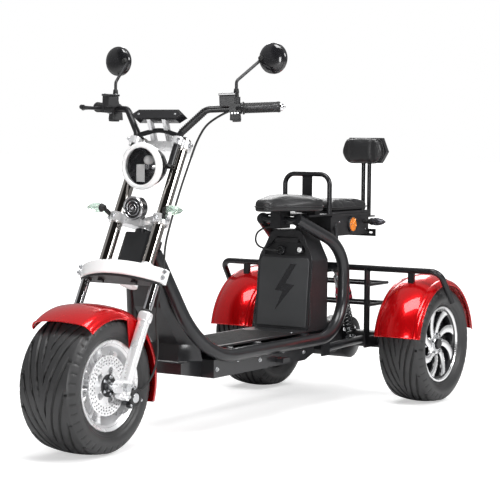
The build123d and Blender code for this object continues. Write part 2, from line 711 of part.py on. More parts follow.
# Front fender: a crowned arch about the axle with side skirts and a tab to each leg
FENDER_FRONT_ANGLE = 56
FENDER_SWEEP = 143
SKIRT_DROP = 40
CROWN_DROP = 8
CROWN_INSET = 28
WAIST_INSET = 8
TAIL_AHEAD = 160
TAIL_TOP = 160
TAIL_HALF = 68
FLANK = ((208, 106), (122, 126), (122, 136), (208, 138), (213, 120))
TAB_UP = 205
TAB_WIDTH = 26
TAB_HEIGHT = 30
with BuildPart() as front_fender:
    with BuildSketch(radial_plane(FRONT_X, 0, FENDER_FRONT_ANGLE)):
        with BuildLine():
            half = FRONT_FENDER_HALF
            outer = FRONT_FENDER_RADIUS
            crown = outer - CROWN_DROP
            waist = outer - SKIRT_DROP / 2
            hem = outer - SKIRT_DROP
            ThreePointArc((-half, hem), (-half + WAIST_INSET, waist), (-half + CROWN_INSET, crown))
            ThreePointArc((-half + CROWN_INSET, crown), (0, outer), (half - CROWN_INSET, crown))
            ThreePointArc((half - CROWN_INSET, crown), (half - WAIST_INSET, waist), (half, hem))
            inner_half = half - FENDER_WALL
            inner_waist = inner_half - WAIST_INSET
            inner_crown = inner_half - CROWN_INSET
            under = FENDER_WALL
            Line((half, hem), (inner_half, hem))
            ThreePointArc((inner_half, hem), (inner_waist, waist - under), (inner_crown, crown - under))
            ThreePointArc((inner_crown, crown - under), (0, outer - under), (-inner_crown, crown - under))
            ThreePointArc((-inner_crown, crown - under), (-inner_waist, waist - under), (-inner_half, hem))
            Line((-inner_half, hem), (-half, hem))
        make_face()
    revolve(axis=Axis((FRONT_X, 0, AXLE_Z), (0, -1, 0)), revolution_arc=FENDER_SWEEP)
    with BuildSketch(Plane(origin=(FRONT_X - TAIL_AHEAD, 0, 0), x_dir=(0, 1, 0), z_dir=(-1, 0, 0))):
        for side in (-1, 1):
            with BuildLine():
                Polyline(
                    (side * (half + 1), AXLE_Z + TAIL_TOP),
                    (side * TAIL_HALF, AXLE_Z - outer),
                    (side * 2 * half, AXLE_Z - outer),
                    (side * 2 * half, AXLE_Z + TAIL_TOP),
                    close=True,
                )
            make_face()
    extrude(amount=outer, mode=Mode.SUBTRACT)
    for low in (-half, inner_half):
        with BuildSketch(wheel_plane(FRONT_X, low)):
            with BuildLine():
                turns = [(reach, math.radians(-turn)) for reach, turn in FLANK]
                Polyline(*[(r * math.cos(a), r * math.sin(a)) for r, a in turns], close=True)
            make_face()
        extrude(amount=FENDER_WALL)
    tab_reach = LEG_HALF - LEG_RADIUS - SEAT_GAP
    with BuildSketch(Plane(origin=fork_point(0, -tab_reach, TAB_UP), x_dir=fork_forward, z_dir=(0, 1, 0))):
        Rectangle(TAB_WIDTH, TAB_HEIGHT)
    extrude(amount=tab_reach - inner_half)
    with BuildSketch(Plane(origin=fork_point(0, inner_half, TAB_UP), x_dir=fork_forward, z_dir=(0, 1, 0))):
        Rectangle(TAB_WIDTH, TAB_HEIGHT)
    extrude(amount=tab_reach - inner_half)
front_fender.part.label = "front_fender"
export_step(front_fender.part, "parts/front_fender.step")

# Main rails: from the steering head down to the floor, back, and round behind the battery to the saddle
RAIL_HEAD = (-70, 46, 480)
RAIL_TOE = -437
RAIL_BACK = 222
RAIL_SHOULDER_Z = 574
RAIL_END = (455, 72, 684)
RAIL_BENDS = [270, 168, 150]
rails = {}
for name, side in SIDES:
    with BuildPart() as rail:
        bent_bar(
            [
                fork_point(RAIL_HEAD[0], side * RAIL_HEAD[1], RAIL_HEAD[2]),
                Vector(FRONT_X + RAIL_TOE, side * RAIL_HALF, FLOOR_HEIGHT),
                Vector(REAR_X + RAIL_BACK, side * RAIL_HALF, FLOOR_HEIGHT),
                Vector(REAR_X + RAIL_BACK, side * RAIL_HALF, RAIL_SHOULDER_Z),
                Vector(REAR_X + RAIL_END[0], side * RAIL_END[1], RAIL_END[2]),
            ],
            RAIL_BENDS,
            RAIL_RADIUS,
        )
    rail.part.label = f"rail_{name}"
    export_step(rail.part, f"parts/rail_{name}.step")
    rails[name] = rail.part


def rail_rise(side, share):
    """A point on one rail's front rise, this share of the way down from the steering head."""
    head = fork_point(RAIL_HEAD[0], side * RAIL_HEAD[1], RAIL_HEAD[2])
    toe = Vector(FRONT_X + RAIL_TOE, side * RAIL_HALF, FLOOR_HEIGHT)
    return head + (toe - head) * share


# Cross members between the rails, with the shock clevises and the swing arm's hangers
FRONT_TUBE_BACK = 616.2
REAR_TUBE_AHEAD = 474
FLOOR_TUBES = (FRONT_X - FRONT_TUBE_BACK, (FRONT_X + REAR_X) / 2, REAR_X + REAR_TUBE_AHEAD)
PANEL_TIE = 0.42
SEAT_TUBE_BACK = 12
floor_tube = FLOOR_HEIGHT + CROSS_RISE
SHOCK_TUBE = (226, 505)
SHOCK_TOP = (192, 494)
SHOCK_FOOT = (62, 221)
EYE_HALF = 11
EYE_RADIUS = 14
LUG_WALL = 5
LUG_REACH = 13
SHOCK_PIN_RADIUS = 6
HANGER_WALL = 8
HANGER_HALF = 26
HANGER_DROP = 22
PIVOT_HALF = 129
with BuildPart() as cross_members:
    for x in FLOOR_TUBES:
        bar((x, -RAIL_HALF, floor_tube), (x, RAIL_HALF, floor_tube), CROSS_RADIUS)
    bar(rail_rise(-1, PANEL_TIE), rail_rise(1, PANEL_TIE), CROSS_RADIUS)
    bar(
        (REAR_X + RAIL_END[0] - SEAT_TUBE_BACK, -RAIL_END[1], RAIL_END[2] - SEAT_TUBE_BACK / 2),
        (REAR_X + RAIL_END[0] - SEAT_TUBE_BACK, RAIL_END[1], RAIL_END[2] - SEAT_TUBE_BACK / 2),
        CROSS_RADIUS,
    )
    bar(
        (REAR_X + SHOCK_TUBE[0], -RAIL_HALF, SHOCK_TUBE[1]),
        (REAR_X + SHOCK_TUBE[0], RAIL_HALF, SHOCK_TUBE[1]),
        CROSS_RADIUS,
    )
    for lug in (SHOCK_HALF - EYE_HALF - SEAT_GAP - LUG_WALL, SHOCK_HALF + EYE_HALF + SEAT_GAP):
        side_blocks(
            (REAR_X + SHOCK_TOP[0] - LUG_REACH, lug, SHOCK_TOP[1] - LUG_REACH),
            (REAR_X + SHOCK_TUBE[0], lug + LUG_WALL, SHOCK_TOP[1] + LUG_REACH),
        )
    hanger = PIVOT_HALF + SEAT_GAP
    side_blocks(
        (REAR_X + PIVOT_X - HANGER_HALF, hanger, PIVOT_HEIGHT - HANGER_DROP),
        (REAR_X + PIVOT_X + HANGER_HALF, hanger + HANGER_WALL, FLOOR_HEIGHT),
    )
    for _, side in SIDES:
        bar(
            (REAR_X + SHOCK_TOP[0], side * (SHOCK_HALF - EYE_HALF - LUG_WALL), SHOCK_TOP[1]),
            (REAR_X + SHOCK_TOP[0], side * (SHOCK_HALF + EYE_HALF + LUG_WALL), SHOCK_TOP[1]),
            SHOCK_PIN_RADIUS,
        )
    for rail_part in rails.values():
        add(rail_part, mode=Mode.SUBTRACT)
cross_members.part.label = "cross_members"
export_step(cross_members.part, "parts/cross_members.step")

# Steering head: the head tube inside its shroud, and a neck back to the rails
SHROUD_HALF = 57
SHROUD_AHEAD = 32
SHROUD_BEHIND = 25
NECK_BEHIND = 46
HEAD_BOTTOM = BRACE_TOP + HEAD_GAP
HEAD_TOP = MID_YOKE_BOTTOM - HEAD_GAP
SHROUD_INSET = 14
with BuildPart() as steering_head:
    with BuildSketch(FORK.offset(HEAD_BOTTOM)):
        with Locations((-STEM_SETBACK, 0)):
            Circle(HEAD_RADIUS)
    extrude(amount=HEAD_TOP - HEAD_BOTTOM)
    with BuildSketch(FORK.offset(HEAD_BOTTOM + SHROUD_INSET)):
        with Locations((-STEM_SETBACK + (SHROUD_AHEAD - SHROUD_BEHIND) / 2, 0)):
            RectangleRounded(SHROUD_AHEAD + SHROUD_BEHIND, 2 * SHROUD_HALF, 18)
        with Locations((-STEM_SETBACK - NECK_BEHIND / 2, 0)):
            Rectangle(NECK_BEHIND, 2 * RAIL_HEAD[1])
    extrude(amount=HEAD_TOP - HEAD_BOTTOM - 2 * SHROUD_INSET)
    with BuildSketch(FORK.offset(HEAD_BOTTOM)):
        with Locations((-STEM_SETBACK, 0)):
            Circle(STEM_RADIUS + RUNNING_GAP)
    extrude(amount=HEAD_TOP - HEAD_BOTTOM, mode=Mode.SUBTRACT)
    for rail_part in rails.values():
        add(rail_part, mode=Mode.SUBTRACT)
steering_head.part.label = "steering_head"
export_step(steering_head.part, "parts/steering_head.step")

# Splash panel: a folded sheet whose side wings spread back to the rails
# Each row: height over the floor tubes, front face and its half width, wing end and its half width
PANEL_ROWS = (
    (-6, -404, 60, -470, 112),
    (48, -420, 52, -452, 112),
    (176, -318, 52, -382, 86),
    (308, -284, 46, -306, 60),
)
with BuildPart() as front_panel:
    for rise, ahead, half, back, wing in PANEL_ROWS:
        with BuildSketch(Plane.XY.offset(FLOOR_HEIGHT + rise)):
            with BuildLine():
                Polyline(
                    (FRONT_X + ahead, -half),
                    (FRONT_X + ahead, half),
                    (FRONT_X + back, wing),
                    (FRONT_X + back, wing - PANEL_WALL),
                    (FRONT_X + ahead - PANEL_WALL, half - PANEL_WALL),
                    (FRONT_X + ahead - PANEL_WALL, PANEL_WALL - half),
                    (FRONT_X + back, PANEL_WALL - wing),
                    (FRONT_X + back, -wing),
                    close=True,
                )
            make_face()
    loft(ruled=True)
    for rail_part in rails.values():
        add(rail_part, mode=Mode.SUBTRACT)
    add(cross_members.part, mode=Mode.SUBTRACT)
    add(steering_head.part, mode=Mode.SUBTRACT)
front_panel.part.label = "front_panel"
export_step(front_panel.part, "parts/front_panel.step")

# Floor board on the cross members, and the belly pan with its side plates below
FLOOR_FRONT = FRONT_X + RAIL_TOE - FLOOR_SHORT
FLOOR_REAR = REAR_X + BATTERY_FRONT - BATTERY_DEPTH
FLOOR_HALF = RAIL_HALF - RAIL_RADIUS - 2
floor_top = floor_tube + CROSS_RADIUS + FLOOR_THICKNESS
with BuildPart() as floor_board:
    block(
        (FLOOR_REAR, -FLOOR_HALF, floor_tube + CROSS_RADIUS),
        (FLOOR_FRONT, FLOOR_HALF, floor_top),
    )
    fillet(floor_board.edges().filter_by(Axis.Z), 14)
    for rail_part in rails.values():
        add(rail_part, mode=Mode.SUBTRACT)
floor_board.part.label = "floor_board"
export_step(floor_board.part, "parts/floor_board.step")

panel_side = Plane(origin=(0, 0, 0), x_dir=(1, 0, 0), z_dir=(0, -1, 0))
# Pan outline from the side: tail and heel ahead of the rear axle, nose behind the front axle
PAN_TAIL = REAR_X + 430
PAN_HEEL = REAR_X + 490
NOSE_BACK = FRONT_X - 505
NOSE_TOP = FRONT_X - 440
NOSE_TIP = FRONT_X - 388
TAIL_DROP = 40
TIP_DROP = 4
PAN_HALF = 134
NOSE_HALF = 84
PEG_X = 672
PEG_SIZE = (44, 34, 14)
pan_top = FLOOR_HEIGHT - PAN_TOP_GAP
pan_bottom = pan_top - PAN_HEIGHT
with BuildPart() as belly_pan:
    with BuildSketch(panel_side.offset(-PAN_HALF)):
        with BuildLine():
            Polyline(
                (PAN_TAIL, pan_top - TAIL_DROP),
                (PAN_HEEL, pan_bottom),
                (NOSE_BACK, pan_bottom),
                (NOSE_TIP, pan_top - TAIL_DROP),
                (NOSE_TIP, pan_top - TIP_DROP),
                (NOSE_TOP, pan_top),
                (PAN_TAIL, pan_top),
                close=True,
            )
        make_face()
    extrude(amount=2 * PAN_HALF)
    nose_length = NOSE_TIP - NOSE_BACK
    for side in (-1, 1):
        with Locations((NOSE_BACK + nose_length / 2, side * (NOSE_HALF + PAN_HALF) / 2, pan_top)):
            Box(nose_length, PAN_HALF - NOSE_HALF, 2 * PAN_HEIGHT, mode=Mode.SUBTRACT)
    for x in FLOOR_TUBES:
        block((x - 10, -40, pan_top - 1), (x + 10, 40, floor_tube - CROSS_RADIUS))
    side_blocks(
        (REAR_X + PEG_X - PEG_SIZE[0] / 2, PAN_HALF - 1, pan_bottom + PEG_SIZE[2]),
        (REAR_X + PEG_X + PEG_SIZE[0] / 2, PAN_HALF + PEG_SIZE[1], pan_bottom + 2 * PEG_SIZE[2]),
    )
    for rail_part in rails.values():
        add(rail_part, mode=Mode.SUBTRACT)
    add(cross_members.part, mode=Mode.SUBTRACT)
    add(front_panel.part, mode=Mode.SUBTRACT)
belly_pan.part.label = "belly_pan"
export_step(belly_pan.part, "parts/belly_pan.step")

# Battery: an upright case that leans back and narrows to its handle
BATTERY_BOTTOM = floor_top + SEAT_GAP
BATTERY_SHOULDER = 249
RECESS = ((-88, 266), (86, 266), (86, 286), (46, 334), (-40, 334), (-88, 286))
RECESS_DEPTH = 16
HANDLE_UP = 322
HANDLE_LENGTH = 100
HANDLE_HEIGHT = 14
PORT = (-24, 284)
PORT_RADIUS = 14
LOCK = (58, 288)
LOCK_RADIUS = 10
with BuildPart() as battery:
    battery_foot = (REAR_X + BATTERY_FRONT, 0, BATTERY_BOTTOM)
    with BuildSketch(Plane(origin=battery_foot, x_dir=(0, 1, 0), z_dir=(1, 0, 0))):
        with BuildLine():
            Polyline(
                (-BATTERY_HALF, 0),
                (BATTERY_HALF, 0),
                (BATTERY_HALF, BATTERY_SHOULDER),
                (BATTERY_TOP_HALF, BATTERY_HEIGHT),
                (-BATTERY_TOP_HALF, BATTERY_HEIGHT),
                (-BATTERY_HALF, BATTERY_SHOULDER),
                close=True,
            )
        make_face()
    extrude(amount=-BATTERY_DEPTH)
    with BuildSketch(Plane(origin=battery_foot, x_dir=(1, 0, 0), z_dir=(0, -1, 0))):
        with BuildLine():
            Polyline(
                (0, 0),
                (BATTERY_LEAN, 0),
                (BATTERY_LEAN, BATTERY_HEIGHT),
                (-BATTERY_LEAN, BATTERY_HEIGHT),
                close=True,
            )
        make_face()
    extrude(amount=2 * BATTERY_HALF, both=True, mode=Mode.SUBTRACT)
    lean = math.atan2(BATTERY_LEAN, BATTERY_HEIGHT)
    face_up = Vector(-math.sin(lean), 0, math.cos(lean))
    face_out = Vector(math.cos(lean), 0, math.sin(lean))
    face = Plane(origin=battery_foot, x_dir=(0, 1, 0), z_dir=face_out)
    with BuildSketch(face):
        with BuildLine():
            Polyline(*RECESS, close=True)
        make_face()
    extrude(amount=-RECESS_DEPTH, mode=Mode.SUBTRACT)
    with BuildSketch(face.offset(-RECESS_DEPTH)):
        with Locations((0, HANDLE_UP)):
            Rectangle(HANDLE_LENGTH, HANDLE_HEIGHT)
        with Locations((PORT[0], PORT[1])):
            Circle(PORT_RADIUS)
        with Locations((LOCK[0], LOCK[1])):
            Circle(LOCK_RADIUS)
    extrude(amount=RECESS_DEPTH - 2)
    for rail_part in rails.values():
        add(rail_part, mode=Mode.SUBTRACT)
battery.part.label = "battery"
export_step(battery.part, "parts/battery.step")

# Seat base plate with its post and saddle pads, the saddle, and the grab hoop behind it
BASE_TOP = 698
BASE_WALL = 6
BASE_HALF = 100
SADDLE_NOSE = 592
SADDLE_WIDE = 372
SADDLE_REAR = 288
SADDLE_CORNER = 30
SADDLE_PAD = (310, 50)
SADDLE_WAIST = (460, 76)
POST_BACK = 42
POST_AHEAD = 30
POST_SIDE = 20
POST_DROP = 48
with BuildPart() as seat_base:
    block(
        (REAR_X + BOX_FRONT, -BASE_HALF, BASE_TOP - BASE_WALL),
        (REAR_X + RAIL_END[0] - 40, BASE_HALF, BASE_TOP),
    )
    block(
        (REAR_X + RAIL_END[0] - POST_BACK, -POST_SIDE, BASE_TOP - POST_DROP),
        (REAR_X + RAIL_END[0] + POST_AHEAD, POST_SIDE, SADDLE_BOTTOM - SEAT_GAP),
    )
    side_blocks(
        (REAR_X + SADDLE_PAD[0], SADDLE_PAD[1], BASE_TOP - 1),
        (REAR_X + SADDLE_PAD[0] + 35, SADDLE_PAD[1] + 34, SADDLE_BOTTOM - SEAT_GAP),
    )
    for rail_part in rails.values():
        add(rail_part, mode=Mode.SUBTRACT)
    add(cross_members.part, mode=Mode.SUBTRACT)
seat_base.part.label = "seat_base"
export_step(seat_base.part, "parts/seat_base.step")

with BuildPart() as saddle:
    with BuildSketch(Plane.XY.offset(SADDLE_BOTTOM)):
        with BuildLine(Plane.XY):
            nose = (REAR_X + SADDLE_NOSE, 0)
            nose_left = (REAR_X + SADDLE_NOSE - SADDLE_NOSE_HALF, SADDLE_NOSE_HALF)
            nose_right = (REAR_X + SADDLE_NOSE - SADDLE_NOSE_HALF, -SADDLE_NOSE_HALF)
            wide_left = (REAR_X + SADDLE_WIDE, SADDLE_HALF)
            wide_right = (REAR_X + SADDLE_WIDE, -SADDLE_HALF)
            ThreePointArc(nose_left, nose, nose_right)
            ThreePointArc(nose_right, (REAR_X + SADDLE_WAIST[0], -SADDLE_WAIST[1]), wide_right)
            ThreePointArc(wide_right, (REAR_X + SADDLE_REAR, 0), wide_left)
            ThreePointArc(wide_left, (REAR_X + SADDLE_WAIST[0], SADDLE_WAIST[1]), nose_left)
        make_face()
    extrude(amount=SADDLE_HEIGHT)
    flanks = saddle.edges().filter_by(Axis.Z).sort_by(Axis.Y)
    fillet([flanks[0], flanks[-1]], SADDLE_CORNER)
saddle.part.label = "saddle"
export_step(saddle.part, "parts/saddle.step")

HOOP_X = 262
HOOP_BEND = 40
STRUT_HALF = 20
with BuildPart() as hoop:
    bent_bar(
        [
            Vector(REAR_X + HOOP_X, HOOP_HALF, BASE_TOP),
            Vector(REAR_X + HOOP_X, HOOP_HALF, HOOP_TOP),
            Vector(REAR_X + HOOP_X, -HOOP_HALF, HOOP_TOP),
            Vector(REAR_X + HOOP_X, -HOOP_HALF, BASE_TOP),
        ],
        HOOP_BEND,
        HOOP_RADIUS,
    )
    block(
        (REAR_X + HOOP_X - 3, -STRUT_HALF, BASE_TOP),
        (REAR_X + HOOP_X + 3, STRUT_HALF, HOOP_TOP),
    )
hoop.part.label = "hoop"
export_step(hoop.part, "parts/hoop.step")

# Trunk box with a rolled rim, its lid and passenger pad, and the struts that carry it
box_rear = REAR_X + BOX_FRONT - BOX_LENGTH
box_front = REAR_X + BOX_FRONT
RIM_OUT = 5
RIM_HEIGHT = 10
KNUCKLE_RADIUS = 5
KNUCKLE_LENGTH = 24
BARREL_LENGTH = 60
KNUCKLE_GAP = 0.5
LID_PIN_Y = -BOX_HALF - RIM_OUT - KNUCKLE_RADIUS - 1
LID_PIN_Z = BOX_TOP + 2
box_middle = (box_front + box_rear) / 2
with BuildPart() as trunk_box:
    block((box_rear, -BOX_HALF, BOX_BOTTOM), (box_front, BOX_HALF, BOX_TOP))
    block((box_rear, -BOX_HALF - RIM_OUT, BOX_TOP - RIM_HEIGHT), (box_front, BOX_HALF + RIM_OUT, BOX_TOP))
    with Locations(((box_front + box_rear) / 2, 0, (BOX_TOP + BOX_BOTTOM) / 2 + BOX_WALL)):
        Box(
            BOX_LENGTH - 2 * BOX_WALL,
            2 * BOX_HALF - 2 * BOX_WALL,
            BOX_TOP - BOX_BOTTOM,
            mode=Mode.SUBTRACT,
        )
    for end in (-1, 1):
        near = box_middle + end * (BARREL_LENGTH / 2 + KNUCKLE_GAP)
        far = near + end * KNUCKLE_LENGTH
        bar((near, LID_PIN_Y, LID_PIN_Z), (far, LID_PIN_Y, LID_PIN_Z), KNUCKLE_RADIUS)
        block(
            (min(near, far), LID_PIN_Y - KNUCKLE_RADIUS, BOX_TOP - RIM_HEIGHT),
            (max(near, far), -BOX_HALF, BOX_TOP),
        )
    bar(
        (box_middle - BARREL_LENGTH, LID_PIN_Y, LID_PIN_Z),
        (box_middle + BARREL_LENGTH, LID_PIN_Y, LID_PIN_Z),
        LID_PIN_RADIUS,
    )
trunk_box.part.label = "trunk_box"
export_step(trunk_box.part, "parts/trunk_box.step")

LID_GAP = 1
KNUCKLE_RELIEF = 3
LID_HALF = BOX_HALF + RIM_OUT
PAD_HALF = 78
PAD_FRONT = 8
with BuildPart() as lid_pan:
    block((box_rear, -LID_HALF, BOX_TOP + LID_GAP), (box_front, LID_HALF, BOX_TOP + LID_GAP + LID_HEIGHT))
    for end in (-1, 1):
        block_start = box_middle + end * (BARREL_LENGTH / 2 - 0.5)
        block_end = box_middle + end * (BARREL_LENGTH / 2 + KNUCKLE_LENGTH + 2)
        with Locations(((block_start + block_end) / 2, -LID_HALF, BOX_TOP + LID_GAP + LID_HEIGHT / 2)):
            Box(abs(block_end - block_start), 2 * KNUCKLE_RELIEF, LID_HEIGHT, mode=Mode.SUBTRACT)
    bar(
        (box_middle - BARREL_LENGTH / 2, LID_PIN_Y, LID_PIN_Z),
        (box_middle + BARREL_LENGTH / 2, LID_PIN_Y, LID_PIN_Z),
        KNUCKLE_RADIUS,
    )
    block(
        (box_middle - BARREL_LENGTH / 2, LID_PIN_Y, BOX_TOP + LID_GAP),
        (box_middle + BARREL_LENGTH / 2, -LID_HALF, LID_PIN_Z + KNUCKLE_RADIUS),
    )
    with BuildSketch(Plane(origin=(box_middle - BARREL_LENGTH, LID_PIN_Y, LID_PIN_Z), z_dir=(1, 0, 0))):
        Circle(LID_PIN_RADIUS + RUNNING_GAP)
    extrude(amount=2 * BARREL_LENGTH, mode=Mode.SUBTRACT)
lid_pan.part.label = "lid_pan"
export_step(lid_pan.part, "parts/lid_pan.step")

pad_bottom = BOX_TOP + LID_GAP + LID_HEIGHT + SEAT_GAP
with BuildPart() as passenger_pad:
    block((box_rear + 2, -PAD_HALF, pad_bottom), (box_front - PAD_FRONT, PAD_HALF, pad_bottom + PAD_HEIGHT))
    fillet(passenger_pad.edges().filter_by(Axis.Z), 20)
    fillet(passenger_pad.faces().sort_by(Axis.Z)[-1].edges(), 12)
passenger_pad.part.label = "passenger_pad"
export_step(passenger_pad.part, "parts/passenger_pad.step")

# Strut ends: ahead of the rear axle, to the side, and height
STRUT_FOOT = (252, 126, 560)
STRUT_HEAD = (172, 70, 660)
STRUT_RADIUS = 7
with BuildPart() as box_struts:
    for _, side in SIDES:
        bar(
            (REAR_X + STRUT_FOOT[0], side * STRUT_FOOT[1], STRUT_FOOT[2]),
            (REAR_X + STRUT_HEAD[0], side * STRUT_HEAD[1], STRUT_HEAD[2]),
            STRUT_RADIUS,
        )
    for rail_part in rails.values():
        add(rail_part, mode=Mode.SUBTRACT)
    with Locations(((box_front + box_rear) / 2, 0, (BOX_TOP + BOX_BOTTOM) / 2)):
        Box(BOX_LENGTH, 2 * BOX_HALF, BOX_TOP - BOX_BOTTOM, mode=Mode.SUBTRACT)
box_struts.part.label = "box_struts"
export_step(box_struts.part, "parts/box_struts.step")

# Side reflectors, rear turn signals and the drilled plate bar behind the box
REFLECTOR_RADIUS = 26
REFLECTOR_RISE = 8
REFLECTOR_X = REAR_X + 60
REFLECTOR_Z = 652
with BuildPart() as side_reflectors:
    for _, side in SIDES:
        bar(
            (REFLECTOR_X, side * BOX_HALF, REFLECTOR_Z),
            (REFLECTOR_X, side * (BOX_HALF + REFLECTOR_RISE), REFLECTOR_Z),
            REFLECTOR_RADIUS,
        )
side_reflectors.part.label = "side_reflectors"
export_step(side_reflectors.part, "parts/side_reflectors.step")

REAR_SIGNAL_X = box_rear + 35
REAR_SIGNAL_Z = 660
REAR_SIGNAL_INNER = 100
with BuildPart() as rear_signals:
    for _, side in SIDES:
        signal(Vector(REAR_SIGNAL_X, side * REAR_SIGNAL_INNER, REAR_SIGNAL_Z), side)
        bar(
            (REAR_SIGNAL_X, side * BOX_HALF, REAR_SIGNAL_Z),
            (REAR_SIGNAL_X, side * (REAR_SIGNAL_INNER + STALK_LAP), REAR_SIGNAL_Z),
            STALK_RADIUS,
        )
rear_signals.part.label = "rear_signals"
export_step(rear_signals.part, "parts/rear_signals.step")

PLATE_HALF = 105
PLATE_HEIGHT = 28
PLATE_WALL = 5
PLATE_Z = BOX_BOTTOM + 4
PLATE_SLOTS = (60, 85)
SLOT_LENGTH = 16
SLOT_WIDTH = 7
with BuildPart() as plate_bar:
    with BuildSketch(Plane(origin=(box_rear, 0, PLATE_Z), x_dir=(0, 1, 0), z_dir=(-1, 0, 0))):
        Rectangle(2 * PLATE_HALF, PLATE_HEIGHT)
        for place in PLATE_SLOTS:
            with Locations((-place, 0), (place, 0)):
                SlotOverall(SLOT_LENGTH, SLOT_WIDTH, mode=Mode.SUBTRACT)
    extrude(amount=PLATE_WALL)
plate_bar.part.label = "plate_bar"
export_step(plate_bar.part, "parts/plate_bar.step")

# Backrest: twin posts on a bracket behind the box, with a hard shell and a front cushion
BRACKET_HALF = 30
BRACKET_WALL = 6
SHELL_DEPTH = 22
CUSHION_DEPTH = 42
post_foot = BOX_TOP - RIM_HEIGHT - BRACKET_WALL
backrest_x = box_rear - BACKREST_BEHIND
with BuildPart() as backrest_posts:
    block(
        (backrest_x - 20, -BRACKET_HALF, post_foot - 8),
        (box_rear, BRACKET_HALF, post_foot - 8 + BRACKET_WALL),
    )
    for _, side in SIDES:
        bar(
            (backrest_x, side * POST_HALF, post_foot - 8 + BRACKET_WALL),
            (backrest_x, side * POST_HALF, BACKREST_BOTTOM - SEAT_GAP),
            POST_RADIUS,
        )
backrest_posts.part.label = "backrest_posts"
export_step(backrest_posts.part, "parts/backrest_posts.step")


def backrest_outline(half, height):
    """The back's six-sided outline, wider at mid height."""
    return [
        (-half + 26, 0),
        (half - 26, 0),
        (half, height * 0.45),
        (half - 22, height),
        (-half + 22, height),
        (-half, height * 0.45),
    ]


shell_front = backrest_x + SHELL_DEPTH / 2
with BuildPart() as backrest_shell:
    with BuildSketch(Plane(origin=(shell_front, 0, BACKREST_BOTTOM), x_dir=(0, 1, 0), z_dir=(1, 0, 0))):
        with BuildLine():
            Polyline(*backrest_outline(BACKREST_HALF, BACKREST_HEIGHT), close=True)
        make_face()
    extrude(amount=-SHELL_DEPTH)
backrest_shell.part.label = "backrest_shell"
export_step(backrest_shell.part, "parts/backrest_shell.step")

with BuildPart() as backrest_pad:
    cushion_foot = (shell_front + SEAT_GAP, 0, BACKREST_BOTTOM)
    with BuildSketch(Plane(origin=cushion_foot, x_dir=(0, 1, 0), z_dir=(1, 0, 0))):
        with BuildLine():
            Polyline(*backrest_outline(BACKREST_HALF, BACKREST_HEIGHT), close=True)
        make_face()
    extrude(amount=CUSHION_DEPTH)
    fillet(backrest_pad.faces().sort_by(Axis.X)[-1].edges(), 14)
backrest_pad.part.label = "backrest_pad"
export_step(backrest_pad.part, "parts/backrest_pad.step")

# Rear axle: housing with the differential bulge, end flanges and stub axles
STUB_END = WHEEL_Y + REAR_SPOKE_FACE + 2
REAR_NUT_RADIUS = 21
with BuildPart() as axle_housing:
    with BuildSketch(radial_plane(REAR_X, 0)):
        with BuildLine():
            Polyline(
                (-STUB_END, 0),
                (-STUB_END, REAR_STUB_RADIUS),
                (-HOUSING_END, REAR_STUB_RADIUS),
                (-HOUSING_END, 56),
                (-HOUSING_END + 10, 56),
                (-HOUSING_END + 10, HOUSING_RADIUS),
                (-66, HOUSING_RADIUS),
                (-46, DIFF_RADIUS),
                (46, DIFF_RADIUS),
                (66, HOUSING_RADIUS),
                (HOUSING_END - 10, HOUSING_RADIUS),
                (HOUSING_END - 10, 56),
                (HOUSING_END, 56),
                (HOUSING_END, REAR_STUB_RADIUS),
                (STUB_END, REAR_STUB_RADIUS),
                (STUB_END, 0),
                close=True,
            )
        make_face()
    revolve(axis=Axis((REAR_X, 0, AXLE_Z), (0, 1, 0)))
    for _, side in SIDES:
        with BuildSketch(wheel_plane(REAR_X, side * STUB_END)):
            RegularPolygon(REAR_NUT_RADIUS, 6)
        extrude(amount=side * NUT_HEIGHT)
axle_housing.part.label = "axle_housing"
export_step(axle_housing.part, "parts/axle_housing.step")

MOTOR_X = 150
MOTOR_Z = 238
MOTOR_RADIUS = 64
MOTOR_HALF = 56
GEAR_BACK = 30
GEAR_HALF = 34
GEAR_BOTTOM = 190
GEAR_TOP = 262
with BuildPart() as motor:
    bar((REAR_X + MOTOR_X, -MOTOR_HALF, MOTOR_Z), (REAR_X + MOTOR_X, MOTOR_HALF, MOTOR_Z), MOTOR_RADIUS)
    block((REAR_X + GEAR_BACK, -GEAR_HALF, GEAR_BOTTOM), (REAR_X + MOTOR_X, GEAR_HALF, GEAR_TOP))
    add(axle_housing.part, mode=Mode.SUBTRACT)
motor.part.label = "motor"
export_step(motor.part, "parts/motor.step")

with BuildPart() as swing_arm:
    bar((REAR_X + PIVOT_X, -PIVOT_HALF, PIVOT_HEIGHT), (REAR_X + PIVOT_X, PIVOT_HALF, PIVOT_HEIGHT), 18)
    for _, side in SIDES:
        bar((REAR_X, side * ARM_HALF, AXLE_Z), (REAR_X + PIVOT_X, side * ARM_HALF, PIVOT_HEIGHT), ARM_RADIUS)
        bar(
            (REAR_X + SHOCK_FOOT[0], side * (SHOCK_HALF - EYE_HALF - 4), SHOCK_FOOT[1]),
            (REAR_X + SHOCK_FOOT[0], side * ARM_HALF, SHOCK_FOOT[1]),
            SHOCK_PIN_RADIUS,
        )
    add(axle_housing.part, mode=Mode.SUBTRACT)
swing_arm.part.label = "swing_arm"
export_step(swing_arm.part, "parts/swing_arm.step")

